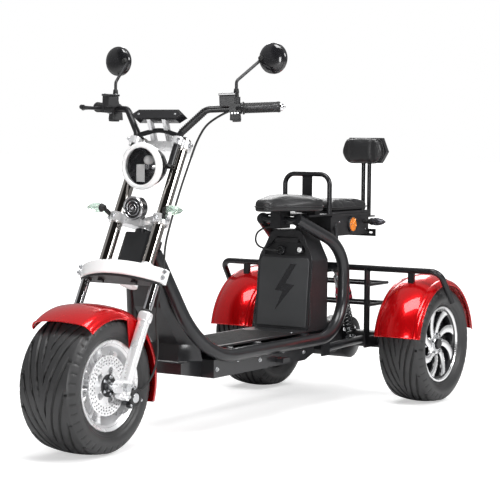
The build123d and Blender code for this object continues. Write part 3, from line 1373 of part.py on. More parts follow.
# Shocks: a damper with its eyes, a spring round it and a gas canister behind, each a pair
shock_top = Vector(REAR_X + SHOCK_TOP[0], 0, SHOCK_TOP[1])
shock_foot = Vector(REAR_X + SHOCK_FOOT[0], 0, SHOCK_FOOT[1])
shock_run = (shock_top - shock_foot).normalized()
shock_length = (shock_top - shock_foot).length
PERCH_HEIGHT = 12
SPRING_START = 44
SPRING_END = 190
DAMPER_RADIUS = 15
DAMPER_NECK = 9
DAMPER_START = 32
with BuildPart() as shock_dampers:
    for _, side in SIDES:
        across = Vector(0, side * SHOCK_HALF, 0)
        for eye in (shock_top, shock_foot):
            bar(eye + across - Vector(0, EYE_HALF, 0), eye + across + Vector(0, EYE_HALF, 0), EYE_RADIUS)
        bar(shock_foot + across, shock_top + across, DAMPER_NECK)
        bar(
            shock_foot + across + shock_run * DAMPER_START,
            shock_foot + across + shock_run * (shock_length - DAMPER_START),
            DAMPER_RADIUS,
        )
        for along in (SPRING_START - PERCH_HEIGHT, SPRING_END):
            bar(
                shock_foot + across + shock_run * along,
                shock_foot + across + shock_run * (along + PERCH_HEIGHT),
                SHOCK_RADIUS,
            )
    for eye in (shock_top, shock_foot):
        with BuildSketch(Plane(origin=eye + Vector(0, -2 * SHOCK_HALF, 0), x_dir=(1, 0, 0), z_dir=(0, 1, 0))):
            Circle(SHOCK_PIN_RADIUS + RUNNING_GAP)
        extrude(amount=4 * SHOCK_HALF, mode=Mode.SUBTRACT)
shock_dampers.part.label = "shock_dampers"
export_step(shock_dampers.part, "parts/shock_dampers.step")

with BuildPart() as shock_springs:
    for _, side in SIDES:
        foot = shock_foot + Vector(0, side * SHOCK_HALF, 0)
        with BuildSketch(Plane(origin=foot + shock_run * (SPRING_START + SEAT_GAP), z_dir=shock_run)):
            Circle(SHOCK_RADIUS - 2)
            Circle(DAMPER_RADIUS + 1, mode=Mode.SUBTRACT)
        extrude(amount=SPRING_END - SPRING_START - 2 * SEAT_GAP)
shock_springs.part.label = "shock_springs"
export_step(shock_springs.part, "parts/shock_springs.step")

# Rear fenders: half arches over the rear tyres
REAR_CROWN = 18
REAR_SKIRT = 36
REAR_CORNER = 22
for name, side in SIDES:
    with BuildPart() as rear_fender:
        with BuildSketch(radial_plane(REAR_X, side * WHEEL_Y, FENDER_START)):
            with BuildLine():
                top = FENDER_RADIUS
                half = FENDER_HALF
                inset = FENDER_WALL
                rise = top - REAR_CROWN
                hem = top - REAR_SKIRT
                edge = half - REAR_CORNER
                bulge = (rise + hem) / 2 + REAR_CORNER / 8
                ThreePointArc((-half, hem), (-half + REAR_CORNER / 4, bulge), (-edge, rise))
                ThreePointArc((-edge, rise), (0, top), (edge, rise))
                ThreePointArc((edge, rise), (half - REAR_CORNER / 4, bulge), (half, hem))
                Line((half, hem), (half - inset, hem))
                ThreePointArc(
                    (half - inset, hem), (half - inset - REAR_CORNER / 4, bulge - inset), (edge - inset, rise - inset)
                )
                ThreePointArc((edge - inset, rise - inset), (0, top - inset), (inset - edge, rise - inset))
                ThreePointArc(
                    (inset - edge, rise - inset), (REAR_CORNER / 4 + inset - half, bulge - inset), (inset - half, hem)
                )
                Line((inset - half, hem), (-half, hem))
            make_face()
        revolve(axis=Axis((REAR_X, 0, AXLE_Z), (0, -1, 0)), revolution_arc=180 - 2 * FENDER_START)
    rear_fender.part.label = f"rear_fender_{name}"
    export_step(rear_fender.part, f"parts/rear_fender_{name}.step")

# Rear rack: a cross tube over the fenders with bent ends, a lower rail, uprights and slats
RACK_END = WHEEL_Y + FENDER_HALF + 22
RACK_TIP = (20, 8, 116)
UPRIGHT_HALF = 170
UPRIGHT_WIDTH = 32
UPRIGHT_WALL = 8
LINK_HALF = 20
STAY_LENGTH = 16
STAY_WIDTH = 22
SHELF_RADIUS = 6
SHELF_LEVELS = (64, 140)
SHELF_X = (-66, -160)
with BuildPart() as rear_rack:
    bent_bar(
        [
            Vector(REAR_X + RACK_TIP[0], RACK_END + RACK_TIP[1], RACK_HEIGHT - RACK_TIP[2]),
            Vector(REAR_X + RACK_X, RACK_END, RACK_HEIGHT),
            Vector(REAR_X + RACK_X, -RACK_END, RACK_HEIGHT),
            Vector(REAR_X + RACK_TIP[0], -RACK_END - RACK_TIP[1], RACK_HEIGHT - RACK_TIP[2]),
        ],
        40,
        RACK_RADIUS,
    )
    side_blocks(
        (REAR_X + RACK_X - UPRIGHT_WIDTH / 2, UPRIGHT_HALF, AXLE_Z),
        (REAR_X + RACK_X + UPRIGHT_WIDTH / 2, UPRIGHT_HALF + UPRIGHT_WALL, RACK_HEIGHT),
    )
    side_blocks(
        (REAR_X - LINK_HALF, UPRIGHT_HALF, AXLE_Z - LINK_HALF),
        (REAR_X + RACK_X + UPRIGHT_WIDTH / 2, UPRIGHT_HALF + UPRIGHT_WALL, AXLE_Z + LINK_HALF),
    )
    for _, side in SIDES:
        stay_drop = RACK_RISE + FENDER_RADIUS / 5
        with Locations((REAR_X + RACK_X, side * WHEEL_Y, RACK_HEIGHT - stay_drop / 2)):
            Box(STAY_LENGTH, STAY_WIDTH, stay_drop)
        for level in SHELF_LEVELS:
            bar(
                (REAR_X + RACK_X, side * (UPRIGHT_HALF + UPRIGHT_WALL / 2), RACK_HEIGHT - level),
                (REAR_X + RACK_X + SHELF_X[1], side * (UPRIGHT_HALF + UPRIGHT_WALL / 2), RACK_HEIGHT - level),
                SHELF_RADIUS,
            )
    for _, side in SIDES:
        with BuildSketch(wheel_plane(REAR_X, side * WHEEL_Y - STAY_WIDTH)):
            Circle(FENDER_RADIUS + SEAT_GAP)
        extrude(amount=2 * STAY_WIDTH, mode=Mode.SUBTRACT)
    for level in SHELF_LEVELS:
        for back in SHELF_X:
            bar(
                (REAR_X + RACK_X + back, -UPRIGHT_HALF, RACK_HEIGHT - level),
                (REAR_X + RACK_X + back, UPRIGHT_HALF, RACK_HEIGHT - level),
                SHELF_RADIUS,
            )
    add(axle_housing.part, mode=Mode.SUBTRACT)
rear_rack.part.label = "rear_rack"
export_step(rear_rack.part, "parts/rear_rack.step")

# Front brake caliper: a block astride the disc, held by a bracket behind the left leg
CALIPER_OUT = 88
CALIPER_DEPTH = 44
CALIPER_HEIGHT = 46
CALIPER_INNER = 68
CALIPER_OUTER = 114
DISC_CLEARANCE = 5
with BuildPart() as front_caliper:
    caliper_plane = Plane(
        origin=fork_point(LEG_LEAD - CALIPER_OUT, CALIPER_INNER, 0), x_dir=fork_forward, z_dir=(0, 1, 0)
    )
    with BuildSketch(caliper_plane):
        Rectangle(CALIPER_DEPTH, CALIPER_HEIGHT)
    extrude(amount=CALIPER_OUTER - CALIPER_INNER)
    with BuildSketch(wheel_plane(FRONT_X, FRONT_HUB_LEFT - DISC_CLEARANCE)):
        Circle(DISC_RADIUS + DISC_CLEARANCE)
    extrude(amount=DISC_THICKNESS + 2 * DISC_CLEARANCE, mode=Mode.SUBTRACT)
    with BuildSketch(caliper_plane.offset(CALIPER_OUTER - CALIPER_INNER - 1)):
        with Locations((CALIPER_OUT / 2 - LEG_LEAD / 2, 0)):
            Rectangle(CALIPER_OUT, CALIPER_HEIGHT - 16)
    extrude(amount=12)
    add(fork_legs.part, mode=Mode.SUBTRACT)
    add(front_axle.part, mode=Mode.SUBTRACT)
front_caliper.part.label = "front_caliper"
export_step(front_caliper.part, "parts/front_caliper.step")

# Gas canisters behind the shocks, joined by a short neck
CANISTER_RADIUS = 15
CANISTER_BACK = 42
CANISTER_START = 150
CANISTER_LENGTH = 84
shock_back = Vector(-shock_run.Z, 0, shock_run.X)
with BuildPart() as shock_canisters:
    for _, side in SIDES:
        foot = shock_foot + Vector(0, side * SHOCK_HALF, 0)
        low = foot + shock_back * CANISTER_BACK + shock_run * CANISTER_START
        high = low + shock_run * CANISTER_LENGTH
        bar(low, high, CANISTER_RADIUS)
        bar(high - shock_run * 18, high - shock_run * 18 - shock_back * CANISTER_BACK, 7)
    add(shock_dampers.part, mode=Mode.SUBTRACT)
shock_canisters.part.label = "shock_canisters"
export_step(shock_canisters.part, "parts/shock_canisters.step")

# Brake hose from the caliper round behind the left leg, up the fork to the left master cylinder
HOSE_RADIUS = 3.5
HOSE_LINE = (
    (-88, 104, 15),
    (-126, 114, 45),
    (-142, 124, 110),
    (-116, 130, 180),
    (-66, 133, 238),
    (-36, 134, 310),
    (-38, 127, 400),
    (-29, 106, 490),
    (-26, 104, 590),
    (-27, 103, 690),
    (-27, 107, 780),
    (-10, 124, 850),
    (14, 158, 895),
    (26, 206, 922),
)
with BuildPart() as brake_hose:
    hose_end = bar_plane(1, clamp_start + CLAMP_LENGTH / 2).from_local_coords(Vector(-POT_AHEAD, 0, 0))
    cord([fork_point(*place) for place in HOSE_LINE] + [hose_end], HOSE_RADIUS)
    add(front_caliper.part, mode=Mode.SUBTRACT)
    add(controls.part, mode=Mode.SUBTRACT)
brake_hose.part.label = "brake_hose"
export_step(brake_hose.part, "parts/brake_hose.step")

# Battery lead looped from the case's port out to the side and up to the seat post
# Each row: out from the case's face, to the left, and up the face from its foot
LEAD_RADIUS = 3.5
LEAD_SINK = 5
LEAD_LINE = (
    (-LEAD_SINK, PORT[0], PORT[1]),
    (30, PORT[0] - 2, PORT[1] - 4),
    (46, -58, 284),
    (42, -94, 294),
    (32, -114, 316),
    (30, -110, 342),
    (36, -82, 359),
    (44, -50, 366),
    (48, 2 - POST_SIDE, 367),
)
with BuildPart() as battery_lead:
    cord(
        [Vector(*battery_foot) + face_out * out + Vector(0, left, 0) + face_up * up for out, left, up in LEAD_LINE],
        LEAD_RADIUS,
    )
    add(seat_base.part, mode=Mode.SUBTRACT)
    add(battery.part, mode=Mode.SUBTRACT)
battery_lead.part.label = "battery_lead"
export_step(battery_lead.part, "parts/battery_lead.step")
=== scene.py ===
import json
from math import atan2, cos, exp, hypot, pi, radians, sin, sqrt

import bmesh
import bpy
from mathutils import Matrix, Vector


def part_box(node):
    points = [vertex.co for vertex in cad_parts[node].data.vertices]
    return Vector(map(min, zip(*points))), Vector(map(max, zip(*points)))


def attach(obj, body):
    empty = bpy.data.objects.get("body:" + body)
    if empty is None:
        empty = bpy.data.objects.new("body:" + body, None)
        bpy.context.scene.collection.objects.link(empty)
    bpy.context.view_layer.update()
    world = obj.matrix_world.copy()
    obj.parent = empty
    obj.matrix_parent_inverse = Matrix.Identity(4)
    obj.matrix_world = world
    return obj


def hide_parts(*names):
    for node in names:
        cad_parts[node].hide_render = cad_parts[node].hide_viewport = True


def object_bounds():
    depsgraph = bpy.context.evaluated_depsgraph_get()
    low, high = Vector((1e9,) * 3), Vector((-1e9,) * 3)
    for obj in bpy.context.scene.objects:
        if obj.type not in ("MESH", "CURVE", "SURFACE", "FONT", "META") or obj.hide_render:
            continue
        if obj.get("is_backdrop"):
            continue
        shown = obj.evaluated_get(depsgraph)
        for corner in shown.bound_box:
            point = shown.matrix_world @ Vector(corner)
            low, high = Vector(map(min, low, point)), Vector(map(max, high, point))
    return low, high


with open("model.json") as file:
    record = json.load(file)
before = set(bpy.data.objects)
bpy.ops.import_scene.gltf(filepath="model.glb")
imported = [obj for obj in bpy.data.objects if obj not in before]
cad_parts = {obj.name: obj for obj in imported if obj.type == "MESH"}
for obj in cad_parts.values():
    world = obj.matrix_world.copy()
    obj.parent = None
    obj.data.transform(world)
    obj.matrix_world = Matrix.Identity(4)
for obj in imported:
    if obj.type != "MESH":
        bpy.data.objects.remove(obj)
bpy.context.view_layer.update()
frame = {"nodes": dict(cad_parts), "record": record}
nodes = frame["nodes"]
scene = bpy.context.scene

# Main places in metres, the same as the solids have
TURN = 2 * pi
RAKE = radians(27.3)
FORWARD = Vector((cos(RAKE), 0, sin(RAKE)))
UP = Vector((-sin(RAKE), 0, cos(RAKE)))
LEFT = Vector((0, 1, 0))
X_AXIS = Vector((1, 0, 0))
Z_AXIS = Vector((0, 0, 1))
AXLE_Z = 0.217
FRONT_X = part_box("front_tyre")[0].x + AXLE_Z
REAR_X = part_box("rear_tyre_left")[0].x + AXLE_Z
WHEEL_Y = 0.358
FORK_ORIGIN = Vector((FRONT_X, 0, AXLE_Z)) - FORWARD * 0.014

# Places in millimetres that more than one piece uses
LEG_SIDE, TUBE_SIDE, YOKE_SIDE = 135, 84, 112.5
MID_YOKE, TOP_YOKE, DISPLAY = 563, 826, 905
SHOCK_FOOT, SHOCK_TOP, SHOCK_SIDE = (62, 221), (192, 494), 84
FRONT_RIM_HALF, REAR_RIM_HALF = 94, 71
SIDES = ((1, "left"), (-1, "right"))


def fork(ahead, left, up):
    """A point in millimetres ahead, left and up along the fork."""
    return FORK_ORIGIN + (FORWARD * ahead + LEFT * left + UP * up) / 1000


def rear(ahead, left, up):
    """A point in millimetres ahead of the rear axle, left and above the ground."""
    return Vector((REAR_X + ahead / 1000, left / 1000, up / 1000))


# Materials: each has its own grain, colour drift and uneven gloss
def add_node(tree, kind, output, values=None, links=None, **settings):
    """An output of a new node, with its settings and its inputs' values and links."""
    node = tree.nodes.new("ShaderNode" + kind)
    for name, value in settings.items():
        setattr(node, name, value)
    for socket, value in (values or {}).items():
        node.inputs[socket].default_value = value
    for socket, source in (links or {}).items():
        tree.links.new(source, node.inputs[socket])
    return node.outputs[output] if output else None


def ramp(tree, factor, low, high):
    return add_node(tree, "MapRange", "Result", {"To Min": low, "To Max": high}, {"Value": factor})


def noise(tree, scale, detail=4.0, stretch=(1, 1, 1)):
    place = add_node(tree, "TexCoord", "Object")
    spot = add_node(tree, "Mapping", "Vector", {"Scale": stretch}, {"Vector": place})
    return add_node(tree, "TexNoise", "Fac", {"Scale": scale, "Detail": detail}, {"Vector": spot})


def cells(tree, scale):
    """How far a point is from the edge of its cell in a pebbled grain."""
    links = {"Vector": add_node(tree, "TexCoord", "Object")}
    return add_node(tree, "TexVoronoi", "Distance", {"Scale": scale}, links, feature="DISTANCE_TO_EDGE")


def tint(tree, factor, dark, light):
    """A colour between two tones."""
    tones = {"A": (*dark, 1), "B": (*light, 1)}
    return add_node(tree, "Mix", "Result", tones, {"Factor": factor}, data_type="RGBA")


def overlay(tree, factor, under, over):
    """A linked colour with a plain one laid over it."""
    links = {"Factor": factor, "A": under}
    return add_node(tree, "Mix", "Result", {"B": (*over, 1)}, links, data_type="RGBA")


FINISH = {}


def start_finish(name, values):
    """The tree and shader of a new material, with plain values set."""
    made = bpy.data.materials.new(name)
    made.use_nodes = True
    FINISH[name] = made
    shader = made.node_tree.nodes["Principled BSDF"]
    for socket, value in values.items():
        shader.inputs[socket].default_value = value
    return made.node_tree, shader


# Painted shade: the tread's grooves and slits are coloured near black, darker than the rubber itself
GROOVE_PAINTED_SHADE = (0.004, 0.004, 0.004)


def add_finish(name, dark, light, rough, metallic=0.0, drift=14.0, grain=900.0, bump=0.1, depth=0.0001,
               pebbled=False, coat=0.0, coat_rough=0.05, stretch=(1, 1, 1), shade_grooves=False, shine=0.5):
    """A surface of two tones, with a range of roughness and a fine grain."""
    values = {"Metallic": metallic, "Specular IOR Level": shine, "Coat Weight": coat,
              "Coat Roughness": coat_rough}
    tree, shader = start_finish(name, values)
    colour = tint(tree, ramp(tree, noise(tree, drift), -0.2, 1.2), dark, light)
    # The tyre's cut share darkens the colour, a painted shade in its grooves and slits
    if shade_grooves:
        cut = add_node(tree, "Attribute", "Fac", attribute_name="cut")
        colour = overlay(tree, cut, colour, GROOVE_PAINTED_SHADE)
    tree.links.new(colour, shader.inputs["Base Color"])
    fine = cells(tree, grain) if pebbled else noise(tree, grain, 2.0, stretch)
    tree.links.new(ramp(tree, noise(tree, drift * 3.1), *rough), shader.inputs["Roughness"])
    relief = add_node(tree, "Bump", "Normal", {"Strength": bump, "Distance": depth}, {"Height": fine})
    tree.links.new(relief, shader.inputs["Normal"])


def add_glass(name, colour, rough, passing, solid=1.0):
    """A clear or tinted lens."""
    tree, shader = start_finish(name, {"Transmission Weight": passing, "Alpha": solid, "IOR": 1.45})
    pale = tuple(min(1, c * 1.08) for c in colour)
    tree.links.new(tint(tree, noise(tree, 30.0), colour, pale), shader.inputs["Base Color"])
    tree.links.new(ramp(tree, noise(tree, 60.0), rough, rough + 0.03), shader.inputs["Roughness"])


add_finish("frame_paint", (0.014, 0.0145, 0.016), (0.024, 0.0245, 0.027), (0.26, 0.36), 0.35, grain=2600,
           bump=0.12, depth=0.0002, coat=0.35, coat_rough=0.14, shine=0.4)
add_finish("black_plastic", (0.009, 0.009, 0.01), (0.016, 0.016, 0.018), (0.38, 0.52), grain=2200,
           bump=0.3, depth=0.0003)
add_finish("black_gloss", (0.008, 0.008, 0.009), (0.014, 0.014, 0.016), (0.1, 0.2), bump=0.03, coat=0.5)
add_finish("black_metal", (0.007, 0.007, 0.008), (0.014, 0.014, 0.016), (0.26, 0.38), 0.2, grain=2600,
           bump=0.1, depth=0.0002)
add_finish("red_paint", (0.55, 0.002, 0.004), (0.66, 0.004, 0.007), (0.2, 0.27), 0.6, drift=5.0,
           grain=5200, bump=0.04, depth=0.00005, coat=0.6, coat_rough=0.02, shine=0.15)
add_finish("chrome", (0.72, 0.72, 0.74), (0.82, 0.82, 0.84), (0.05, 0.12), 1.0, grain=700, bump=0.02)
add_finish("alloy", (0.68, 0.69, 0.7), (0.8, 0.8, 0.82), (0.2, 0.32), 1.0, grain=1400, bump=0.06)
add_finish("white_alloy", (0.9, 0.9, 0.9), (0.95, 0.95, 0.95), (0.2, 0.27), grain=1400, bump=0.04, coat=0.6)
add_finish("cast_silver", (0.84, 0.84, 0.85), (0.9, 0.9, 0.91), (0.24, 0.32), 0.6, drift=6, grain=2600,
           bump=0.03, depth=0.00005, coat=0.3)
add_finish("steel", (0.5, 0.51, 0.53), (0.66, 0.67, 0.68), (0.2, 0.34), 1.0, grain=300, bump=0.05,
           stretch=(1, 30, 1))
add_finish("leather", (0.008, 0.008, 0.009), (0.015, 0.015, 0.016), (0.36, 0.48), drift=8, grain=520,
           bump=0.35, depth=0.0005, pebbled=True)
add_finish("tyre", (0.02, 0.02, 0.021), (0.036, 0.036, 0.037), (0.4, 0.52), drift=10, grain=1500,
           bump=0.25, depth=0.0003, shade_grooves=True)
add_finish("rubber", (0.008, 0.008, 0.008), (0.015, 0.015, 0.015), (0.55, 0.7), grain=1800, bump=0.3,
           depth=0.0003)
add_glass("lens", (0.03, 0.03, 0.034), 0.02, 0.0, 0.16)
add_glass("signal_lens", (0.72, 0.88, 0.78), 0.06, 0.75)
add_finish("amber", (0.75, 0.2, 0.01), (0.88, 0.3, 0.03), (0.12, 0.2), grain=420, bump=0.5, depth=0.0006,
           pebbled=True, coat=0.8)
add_finish("red_anodised", (0.5, 0.03, 0.06), (0.62, 0.05, 0.09), (0.25, 0.35), 0.4, grain=1500, bump=0.08)
add_finish("polished", (0.86, 0.86, 0.87), (0.92, 0.92, 0.93), (0.16, 0.22), 0.85, drift=5, grain=2600,
           bump=0.01, depth=0.00005)
add_finish("mirror", (0.85, 0.86, 0.88), (0.88, 0.89, 0.9), (0.02, 0.04), 1.0, bump=0.0)
# Painted shade: chrome darkened for the headlamp's dim bowl
add_finish("bowl_chrome_painted_shade", (0.3, 0.3, 0.31), (0.42, 0.42, 0.43), (0.05, 0.1), 1.0, bump=0.0)
add_finish("smoke", (0.05, 0.05, 0.06), (0.09, 0.09, 0.1), (0.1, 0.2), 0.6, bump=0.02)
add_finish("case_grey", (0.03, 0.031, 0.033), (0.044, 0.045, 0.047), (0.42, 0.55), grain=2400, bump=0.2,
           depth=0.0003)
# Painted reflection: chrome darkened and browned for the dark room the fork tubes reflect
add_finish("tube_chrome_painted_reflection", (0.5, 0.47, 0.44), (0.6, 0.57, 0.54), (0.06, 0.1), 1.0, grain=700, bump=0.02)


def paint(node, finish):
    """Gives a CAD node its finish."""
    materials = nodes[node].data.materials
    materials.clear()
    materials.append(FINISH[finish])


for part in frame["record"]["subparts"]:
    paint(part["node"], part["material_slot"])
paint("fork_tubes", "tube_chrome_painted_reflection")
paint("rear_signals", "smoke")
for node in ("fork_legs", "mid_yoke", "top_yoke", "riser"):
    paint(node, "cast_silver")
for node in nodes.values():
    node.data.shade_smooth()
    node.data.set_sharp_from_angle(angle=radians(32))


# Shapes: small solids gathered into one mesh for each piece
def turns(count, shift=0):
    """Even angles all round, moved on by a share of a step."""
    return [TURN * (k + shift) / count for k in range(count)]


def spread(side, other, count):
    """Unit vectors all round, in the plane of two others."""
    return [side * cos(turn) + other * sin(turn) for turn in turns(count)]


def add_object(name, data):
    made = bpy.data.objects.new(name, data)
    scene.collection.objects.link(made)
    return made


class Shape:
    def __init__(self):
        self.mesh = bmesh.new()

    def take(self, verts, faces):
        made = [self.mesh.verts.new(v) for v in verts]
        for face in faces:
            self.mesh.faces.new([made[i] for i in face])

    def loft(self, rings):
        """Joins closed rings of points with quads and caps both ends."""
        count = len(rings[0])
        faces = []
        for r in range(len(rings) - 1):
            for i in range(count):
                j = (i + 1) % count
                faces.append((r * count + i, r * count + j, (r + 1) * count + j, (r + 1) * count + i))
        faces.append(tuple(reversed(range(count))))
        faces.append(tuple((len(rings) - 1) * count + i for i in range(count)))
        self.take([p for ring in rings for p in ring], faces)

    def ring_loft(self, rings):
        """Joins closed rings of points with quads, and the last ring with the first."""
        count = len(rings[0])
        faces = []
        for r in range(len(rings)):
            n = (r + 1) % len(rings)
            for i in range(count):
                j = (i + 1) % count
                faces.append((r * count + i, n * count + i, n * count + j, r * count + j))
        self.take([p for ring in rings for p in ring], faces)

    def lathe(self, profile, origin, axis, segments):
        """Turns (along, out) points in millimetres about an axis."""
        axis = Vector(axis).normalized()
        side = axis.orthogonal().normalized()
        rings = []
        for out in spread(side, axis.cross(side), segments):
            rings.append([Vector(origin) + axis * (a / 1000) + out * (r / 1000) for a, r in profile])
        self.ring_loft(rings)

    def rod(self, start, end, radius, sides, end_radius=None):
        """A round bar between two points, radii in millimetres."""
        self.tube([start, end], [radius, end_radius or radius], sides)

    def tube(self, points, radii, sides):
        """A round bar along points, with one radius or one for each point."""
        points = [Vector(p) for p in points]
        if not isinstance(radii, list):
            radii = [radii] * len(points)
        tangents = []
        for i in range(len(points)):
            a = points[max(0, i - 1)]
            b = points[min(len(points) - 1, i + 1)]
            tangents.append((b - a).normalized())
        side = tangents[0].orthogonal().normalized()
        rings = []
        for p, t, r in zip(points, tangents, radii):
            side = (side - t * side.dot(t)).normalized()
            rings.append([p + way * r / 1000 for way in spread(side, t.cross(side), sides)])
        self.loft(rings)

    def bead(self, points, radius, up, sides=8):
        """A closed bead along a loop of points, its radius in millimetres."""
        rings = []
        for i in range(len(points)):
            run = (points[(i + 1) % len(points)] - points[i - 1]).normalized()
            side = up.cross(run).normalized()
            rings.append([points[i] + way * radius / 1000 for way in spread(side, run.cross(side), sides)])
        self.ring_loft(rings)

    def slab(self, middle, size, axes=None, taper=1.0):
        """A box about a middle, sizes in millimetres; taper narrows its far end."""
        x, y, z = axes or (X_AXIS, LEFT, Z_AXIS)
        half = [s / 2000 for s in size]
        verts = []
        for k, narrow in ((-1, 1.0), (1, taper)):
            for i, j in ((-1, -1), (1, -1), (1, 1), (-1, 1)):
                flat = Vector(middle) + x * i * half[0] * narrow + y * j * half[1] * narrow
                verts.append(flat + z * k * half[2])
        self.take(verts, [(3, 2, 1, 0), (4, 5, 6, 7), (0, 1, 5, 4), (1, 2, 6, 5), (2, 3, 7, 6), (3, 0, 4, 7)])

    def hexagon(self, middle, normal, radius, height):
        """A six-sided bolt head with a washer under it."""
        normal = Vector(normal).normalized()
        start = Vector(middle)
        self.rod(start - normal * 0.001, start + normal * 0.0015, radius * 1.35, 16)
        self.rod(start, start + normal * (height / 1000), radius, 6, radius * 0.92)

    def piece(self, name, body, slot, replaces=(), bevel=0.0, segments=2, sharp=35, finish=None):
        """One piece of all the solids, riding on a body; bevel is in millimetres."""
        bmesh.ops.recalc_face_normals(self.mesh, faces=self.mesh.faces)
        data = bpy.data.meshes.new(name)
        self.mesh.to_mesh(data)
        self.mesh.free()
        made = add_object(name, data)
        data.materials.append(FINISH[finish or slot])
        if bevel:
            modifier = made.modifiers.new("edge", "BEVEL")
            modifier.width = bevel / 1000
            modifier.segments = segments
            modifier.limit_method = "ANGLE"
        data.shade_smooth()
        data.set_sharp_from_angle(angle=radians(sharp))
        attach(made, body)
        if replaces:
            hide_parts(*replaces)
        return made


def turned(profile, origin, axis, segments, *place, **look):
    """A piece of one turned solid."""
    shape = Shape()
    shape.lathe(profile, origin, axis, segments)
    shape.piece(*place, **look)


def spline_point(a, b, c, d, t):
    """The point a share t from b to c on a smooth line."""
    bend = (2 * a - 5 * b + 4 * c - d) * t * t
    return 0.5 * (2 * b + (c - a) * t + bend + (3 * b - a - 3 * c + d) * t ** 3)


def curve_points(points, steps):
    """Points along a smooth line through the given points."""
    points = [Vector(p) for p in points]
    ends = [points[0] * 2 - points[1]] + points + [points[-1] * 2 - points[-2]]
    line = []
    for i in range(1, len(ends) - 2):
        line += [spline_point(*ends[i - 1:i + 3], k / steps) for k in range(steps)]
    return line + [points[-1]]


def rounded(points, steps=6):
    """A closed smooth outline through the given corner points."""
    points = [Vector(p) for p in points]
    line = []
    for i in range(len(points)):
        corners = [points[(i + k - 1) % len(points)] for k in range(4)]
        line += [spline_point(*corners, k / steps) for k in range(steps)]
    return line


def wheel_way(turn):
    """The way out from a wheel's axle at an angle."""
    return Vector((cos(turn), 0, sin(turn)))


# Tyres: a casing with swept rain grooves cut in the tread and short slits at the shoulder
TYRE_RADIUS = 217.0
GROOVE_DEPTH, GROOVE_HALF, GROOVE_WALL = 5.0, 2.7, 1.2
GROOVE_COUNT = 13
GROOVE_TURN = radians(82)
GROOVE_CURVE = 0.85
# Where a groove starts, bends and ends across the half width, and its lean on each side of the bend
GROOVE_START, GROOVE_BEND, GROOVE_END = 0.06, 0.74, 0.93
INNER_LEAN, OUTER_LEAN = 0.21, 0.95
BEAD_RADIUS, FLANGE_RADIUS, BULGE_RADIUS = 128, 142, 174
TYRE_TURNS = 288
SLIT_EVERY, SLIT_DEPTH, SLIT_FROM = 7, 4.0, 186
SIDE_RIBS = ((148, 151), (157, 159.5), (178, 180.5))
SIDE_RIB_RISE = 1.4


def arc(a, b, c, steps):
    """Points along the circle through three points, without the last."""
    (ax, ay), (bx, by), (cx, cy) = a, b, c
    d = 2 * (ax * (by - cy) + bx * (cy - ay) + cx * (ay - by))
    aa, bb, cc = ax * ax + ay * ay, bx * bx + by * by, cx * cx + cy * cy
    ux = (aa * (by - cy) + bb * (cy - ay) + cc * (ay - by)) / d
    uy = (aa * (cx - bx) + bb * (ax - cx) + cc * (bx - ax)) / d
    radius = hypot(ax - ux, ay - uy)
    first = atan2(ay - uy, ax - ux)
    middle = atan2(by - uy, bx - ux)
    last = atan2(cy - uy, cx - ux)
    span = (last - first) % TURN
    if (middle - first) % TURN > span:
        span -= TURN
    line = [first + span * k / steps for k in range(steps)]
    return [(ux + radius * cos(turn), uy + radius * sin(turn)) for turn in line]


def groove(turn, across, half):
    """How far the tread is cut in at an angle round the tyre and a place across it."""
    reach = abs(across) / half
    if reach > GROOVE_END:
        return 0.0
    run = min(reach / GROOVE_BEND, 1.0)
    offset = GROOVE_TURN * run ** GROOVE_CURVE
    period = TURN / GROOVE_COUNT
    stagger = 0.0 if across > 0 else 0.5
    away = (turn - offset + stagger * period + period / 2) % period - period / 2
    lean = INNER_LEAN if reach < GROOVE_BEND else OUTER_LEAN
    distance = abs(away) * TYRE_RADIUS * lean
    if reach <= GROOVE_START or distance >= GROOVE_HALF + GROOVE_WALL:
        return 0.0
    return GROOVE_DEPTH * min(1.0, (GROOVE_HALF + GROOVE_WALL - distance) / GROOVE_WALL)


def tyre(name, x, y, width, rim_half, body):
    """A tyre about an axle, its width and the rim's half width in millimetres."""
    half = width / 2
    bead = rim_half - 6.3
    shoulder = half * 0.83
    edge = TYRE_RADIUS - 9
    outline = [(-bead + 13, BEAD_RADIUS), (-bead, BEAD_RADIUS), (-bead, FLANGE_RADIUS)]
    outline += arc((-bead, FLANGE_RADIUS), (-half, BULGE_RADIUS), (-shoulder, edge), 30)
    outline += arc((-shoulder, edge), (0, TYRE_RADIUS), (shoulder, edge), 132)
    outline += arc((shoulder, edge), (half, BULGE_RADIUS), (bead, FLANGE_RADIUS), 30)
    outline += [(bead, FLANGE_RADIUS), (bead, BEAD_RADIUS), (bead - 13, BEAD_RADIUS)]
    rings = []
    cuts = []
    for k, turn in enumerate(turns(TYRE_TURNS)):
        ring = []
        for across, out in outline:
            cut = 0.0
            if out > edge - 1:
                cut = groove(turn, across, half)
            elif SLIT_FROM < out < edge - 4 and k % SLIT_EVERY == 0:
                cut = SLIT_DEPTH
            elif any(low < out < high for low, high in SIDE_RIBS):
                cut = -SIDE_RIB_RISE
            r = (out - cut) / 1000
            # How deep each point is cut, kept so the grooves and slits can be painted in shade
            cuts.append(max(0.0, cut / GROOVE_DEPTH))
            ring.append(Vector((x + r * cos(turn), y + across / 1000, AXLE_Z + r * sin(turn))))
        rings.append(ring)
    shape = Shape()
    shape.ring_loft(rings)
    made = shape.piece(name + "_tread", body, "tyre", (name,), sharp=50)
    made.data.attributes.new("cut", "FLOAT", "POINT").data.foreach_set("value", cuts)


tyre("front_tyre", FRONT_X, 0, 212, FRONT_RIM_HALF, "front_wheel")
tyre("rear_tyre_left", REAR_X, WHEEL_Y, 180, REAR_RIM_HALF, "rear_wheel_left")
tyre("rear_tyre_right", REAR_X, -WHEEL_Y, 180, REAR_RIM_HALF, "rear_wheel_right")


